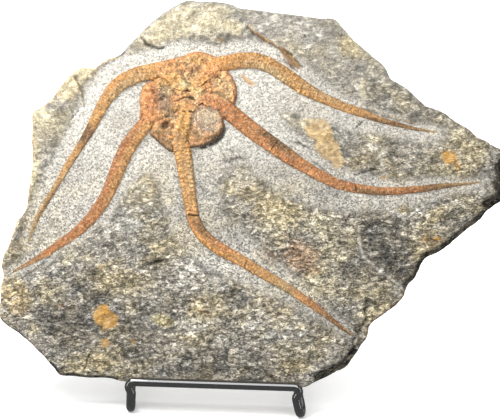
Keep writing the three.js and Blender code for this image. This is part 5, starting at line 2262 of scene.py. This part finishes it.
@dataclass
class WireStand:
    """The bent wire stand: a front rod that cups the slab's bottom edge, and a prop behind it.

    Attributes:
        frame: Where the slab lies.
        wire: The wire's radius.
        sides: How many sides it is drawn with.
        bend_step: Degrees between its points in a bend.
        straight_step: Distance between them elsewhere.
        end_fullness: Its radius at its rounded ends, as a share.
        end_length: Length of the rounding.
        corner_half: Middle of the stand to the corners of the rail.
        leg_half: Middle of the stand to the front legs.
        leg_top: Height at which a front leg's slant starts.
        rail_y: The rail's place in front of the slab's bottom edge.
        rail_z: Its height.
        corner: Radius of its corners.
        foot: Radius of the hairpin that each leg stands on.
        splay: How far the hairpins point outwards.
        slant_left: How far the left leg leans outwards.
        slant_right: How far the right leg does.
        arm_end: Where the arms under the slab end, from the middle and behind.
        prop_foot: Where the prop's legs meet the ground.
        prop_half: Half the width of the prop's top bar.
        prop_bend: Radius of its bends.
    """

    frame: SlabFrame
    wire: float = 1.8
    sides: int = 28
    bend_step: float = 7.0
    straight_step: float = 6.0
    end_fullness: float = 0.72
    end_length: float = 0.5
    corner_half: float = 35.4
    leg_half: float = 32.8
    leg_top: float = 9.0
    rail_y: float = -2.4
    rail_z: float = 13.5
    corner: float = 2.2
    foot: float = 3.0
    splay: float = math.radians(7.0)
    slant_left: float = 0.03
    slant_right: float = 0.24
    arm_end: Place = (32.4, 67.7)
    prop_foot: Place = (34.0, 74.0)
    prop_half: float = 18.0
    prop_bend: float = 6.0

    def front_side(self, slant: float) -> list[Bend]:
        """Gives one side of the front rod, from the end of its arm to the corner of the rail.

        Args:
            slant: How far its leg leans outwards, in radians.

        Returns:
            Its corners.
        """
        bottom = self.wire
        arm_z = SLAB_BOTTOM - GAP - self.wire

        def strand(distance: float, z: float) -> Triple:
            """Finds a place on the leaning leg and its hairpin.

            Args:
                distance: How far behind the leg it is.
                z: Its height.

            Returns:
                The place.
            """
            aside = (self.leg_top - z) * math.tan(slant)
            x = self.leg_half + math.sin(self.splay) * distance + math.cos(self.splay) * aside
            y = self.rail_y + math.cos(self.splay) * distance - math.sin(self.splay) * aside
            return x, y, z

        return [
            Bend((*self.arm_end, arm_z)),
            Bend(strand(3.5 * self.foot, arm_z), 8.0),
            Bend(strand(2 * self.foot, arm_z), self.foot),
            Bend(strand(2 * self.foot, bottom), self.foot),
            Bend(strand(0.0, bottom), self.foot),
            Bend(strand(0.0, self.leg_top), 2.0),
            Bend((self.corner_half, self.rail_y, self.rail_z), self.corner),
        ]

    def prop_side(self) -> list[Bend]:
        """Gives one side of the prop, from its toe to the corner of its top bar.

        Returns:
            Its corners.
        """
        behind = THICKNESS + GAP + self.wire
        bar_y = PROP_V * math.sin(LEAN) + behind * math.cos(LEAN)
        bar_z = SLAB_BOTTOM + PROP_V * math.cos(LEAN) - behind * math.sin(LEAN)
        x, y = self.prop_foot
        return [
            Bend((x, y + PROP_TOE, self.wire)),
            Bend((x, y, self.wire), self.prop_bend),
            Bend((self.prop_half, bar_y, bar_z), self.prop_bend),
        ]

    @staticmethod
    def mirrored(side: list[Bend]) -> list[Bend]:
        """Gives the other side's corners, in the opposite order."""
        return [Bend((-bend.place[0], *bend.place[1:]), bend.radius) for bend in reversed(side)]

    def route(self, bends: list[Bend]) -> Array:
        """Rounds each corner into an arc of short steps.

        Args:
            bends: The corners of the route.

        Returns:
            Rows of points along it.
        """
        points = [Vector(bend.place) for bend in bends]
        path = [points[0]]
        for before, at, after, bend in zip(points[:-2], points[1:-1], points[2:], bends[1:-1]):
            come, go = (at - before).normalized(), (after - at).normalized()
            angle = come.angle(go)
            start = at - come * bend.radius * math.tan(angle / 2)
            axis = come.cross(go).normalized()
            arm = -axis.cross(come) * bend.radius
            hub = start - arm
            steps = max(4, math.ceil(math.degrees(angle) / self.bend_step))
            path += [hub + Quaternion(axis, angle * k / steps) @ arm for k in range(steps + 1)]
        path.append(points[-1])
        full = [path[0]]
        for a, b in zip(path[:-1], path[1:]):
            parts = max(1, round((b - a).length / self.straight_step))
            full += [a.lerp(b, k / parts) for k in range(1, parts + 1)]
        return np.array([tuple(p) for p in full])

    @staticmethod
    def tree() -> Tree:
        """Writes the geometry tree that sweeps a round wire along a route.

        Returns:
            The tree.
        """
        kinds = {"Route": "Geometry", "Wire radius": "Float", "Sides": "Int", "Finish": "Material"}
        tree = new_group("wire_sweep", kinds, "Wire")
        given = tree.add("NodeGroupInput").outputs
        curve = tree.add("GeometryNodeMeshToCurve", {"Mesh": given["Route"]}).outputs[0]
        radius = tree.product(tree.stored("fullness", "FLOAT"), given["Wire radius"])
        circle = {"Resolution": given["Sides"], "Radius": 1.0}
        ring = tree.add("GeometryNodeCurvePrimitiveCircle", circle).outputs[0]
        swept = tree.add("GeometryNodeCurveToMesh", {
            "Curve": curve, "Profile Curve": ring, "Scale": radius, "Fill Caps": True,
        }).outputs[0]
        tree.end(swept, given["Finish"])
        return tree

    def sweep(self, name: str, bends: list[Bend], finish: Material) -> Piece:
        """Makes one wire.

        Args:
            name: Name of the piece.
            bends: Its corners.
            finish: Its material.

        Returns:
            The wire as a plain mesh.
        """
        path = self.route(bends)
        length = self.end_length
        ends = [a + (b - a) / np.linalg.norm(b - a) * length for a, b in (path[:2], path[:-3:-1])]
        path = np.vstack([path[:1], ends[:1], path[1:-1], ends[1:], path[-1:]])
        fullness = np.ones(len(path))
        fullness[[0, -1]] = self.end_fullness
        source = run_along(
            name + "_route", self.frame.stand_to_part(path), {"fullness": fullness}, self.tree(),
            {"Wire radius": self.wire * MM, "Sides": self.sides, "Finish": finish},
        )
        piece = plain_copy(source, name)
        piece.data.materials.append(finish)
        piece.data.shade_smooth()
        return piece

    def build(self, finish: WireFinish) -> list[Piece]:
        """Builds both wires and puts them in place of their solids.

        Args:
            finish: Their finish.

        Returns:
            The wires.
        """
        material = finish.material()
        front = [*self.front_side(self.slant_right), *self.mirrored(self.front_side(self.slant_left))]
        back = [*self.prop_side(), *self.mirrored(self.prop_side())]
        wires = (("wire_front", "stand_front_rod", front), ("wire_prop", "stand_back_rod", back))
        pieces = []
        for name, node, bends in wires:
            piece = self.sweep(name, bends, material)
            place_piece(piece, "wire", node)
            pieces.append(piece)
        return pieces


# ---- Studio ----


@dataclass
class Studio:
    """White paper, soft lights and the camera.

    Attributes:
        frame: Where the slab lies.
        aim: Place on the face in the middle of the picture.
        azimuth: Camera's direction, in degrees to the right of straight ahead.
        elevation: Camera's height, in degrees.
        roll: How far the camera is turned clockwise, in degrees.
        distance: Camera to the face, in millimetres.
        lens: Focal length.
        sensor: Width of the camera's sensor.
        room_light: Strength of the light from all round.
        paper_front: How far the paper runs towards the camera, in metres.
        paper_behind: How far behind the stand it starts to rise, in metres.
        paper_curve: Radius of its rise, in metres.
        paper_top: How high it runs, in metres.
        paper_half: Half its width, in metres.
    """

    frame: SlabFrame
    aim: Place = (14.8, 69.4)
    azimuth: float = 2.0
    elevation: float = 14.0
    roll: float = 1.2
    distance: float = 760.0
    lens: float = 137.3
    sensor: float = 36.0
    room_light: float = 0.2
    paper_front: float = 2.5
    paper_behind: float = 1.0
    paper_curve: float = 0.8
    paper_top: float = 2.6
    paper_half: float = 3.0

    # Name, place, target, width and height in metres, and watts of each soft light
    PANELS = (
        ("key_light", (-0.18, -0.15, 0.36), (-0.01, 0.0, 0.1), (0.2, 0.14), 1.95),
        ("overhead_light", (0.0, -0.42, 0.5), (0.0, 0.0, 0.03), (1.0, 0.55), 4.2),
        ("left_strip", (-0.5, -0.3, 0.12), (0.0, -0.04, 0.0), (0.05, 0.4), 0.4),
        ("right_strip", (0.55, -0.3, 0.12), (0.0, -0.04, 0.0), (0.05, 0.4), 0.3),
        ("background_light", (0.0, 0.75, 1.3), (0.0, 1.5, 0.2), (1.8, 0.7), 16.0),
    )

    def camera(self) -> None:
        """Sets the camera."""
        side, height, roll = (math.radians(a) for a in (self.azimuth, self.elevation, self.roll))
        level = math.cos(height)
        back = Vector((math.sin(side) * level, -math.cos(side) * level, math.sin(height)))
        right = Vector((math.cos(side), math.sin(side), 0.0))
        up = back.cross(right)
        right, up = right * math.cos(roll) + up * math.sin(roll), up * math.cos(roll) - right * math.sin(roll)
        target = Vector(self.frame.to_part(np.array([[*self.aim, 0.0]]))[0])
        data = bpy.data.cameras.new("camera")
        data.lens, data.sensor_width = self.lens, self.sensor
        data.dof.use_dof = False
        eye = new_object("camera", data)
        turned = Matrix((right, up, back)).transposed().to_4x4()
        eye.matrix_world = Matrix.Translation(target + back * self.distance * MM) @ turned
        bpy.context.scene.camera = eye

    @staticmethod
    def panel(name: str, place: Triple, target: Triple, size: tuple[float, float], power: float) -> None:
        """Adds a soft light.

        Args:
            name: Name of the light.
            place: Where it hangs, in metres.
            target: The place that it faces.
            size: Its width and height.
            power: Its strength in watts.
        """
        data = bpy.data.lights.new(name, "AREA")
        data.shape = "RECTANGLE"
        data.size, data.size_y = size
        data.energy = power
        light = new_object(name, data)
        light.location = place
        light.rotation_euler = (Vector(place) - Vector(target)).to_track_quat("Z", "Y").to_euler()

    def paper(self) -> None:
        """Lays the white paper, which curves up behind the stand."""
        behind, curve, half = self.paper_behind, self.paper_curve, self.paper_half
        profile = [(-self.paper_front, 0.0), (behind, 0.0)]
        turns = np.linspace(0.1, math.pi / 2, 14)
        profile += [(behind + curve * math.sin(turn), curve - curve * math.cos(turn)) for turn in turns]
        profile.append((behind + curve, self.paper_top))
        places = np.array([[x, y, z] for y, z in profile for x in (-half, half)])
        rows = [(2 * k, 2 * k + 1, 2 * k + 3) for k in range(len(profile) - 1)]
        rows += [(2 * k, 2 * k + 3, 2 * k + 2) for k in range(len(profile) - 1)]
        sheet = make_mesh("paper", places, np.array(rows), {})
        sheet.data.materials.append(FloorFinish().material())
        sheet.visible_glossy = False

    def build(self) -> None:
        """Sets the paper, the lights, the room's own light and the camera."""
        self.paper()
        for panel in self.PANELS:
            self.panel(*panel)
        world = bpy.data.worlds.new("room")
        world.use_nodes = True
        room = world.node_tree.nodes["Background"]
        room.inputs["Color"].default_value = (1.0, 1.0, 1.0, 1.0)
        room.inputs["Strength"].default_value = self.room_light
        bpy.context.scene.world = world
        bpy.context.scene.view_settings.view_transform = "Standard"
        self.camera()


def main() -> None:
    """Builds every piece in order and reports it."""
    logging.basicConfig(level=logging.INFO, format="%(name)s: %(message)s")
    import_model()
    frame = SlabFrame.from_stand()
    LOG.info("slab frame at x %.2f mm, y %.2f mm", frame.x, frame.y)
    Studio(frame).build()
    Slab(frame, SlabFace()).build(RockFinish())
    calcite = FossilFinish().material()
    Disc(frame).build(calcite)
    for seed, plan in enumerate(ARM_PLANS, start=1):
        Arm(plan, frame).build(calcite, seed)
    WireStand(frame).build(WireFinish())


if __name__ == "__main__":
    main()
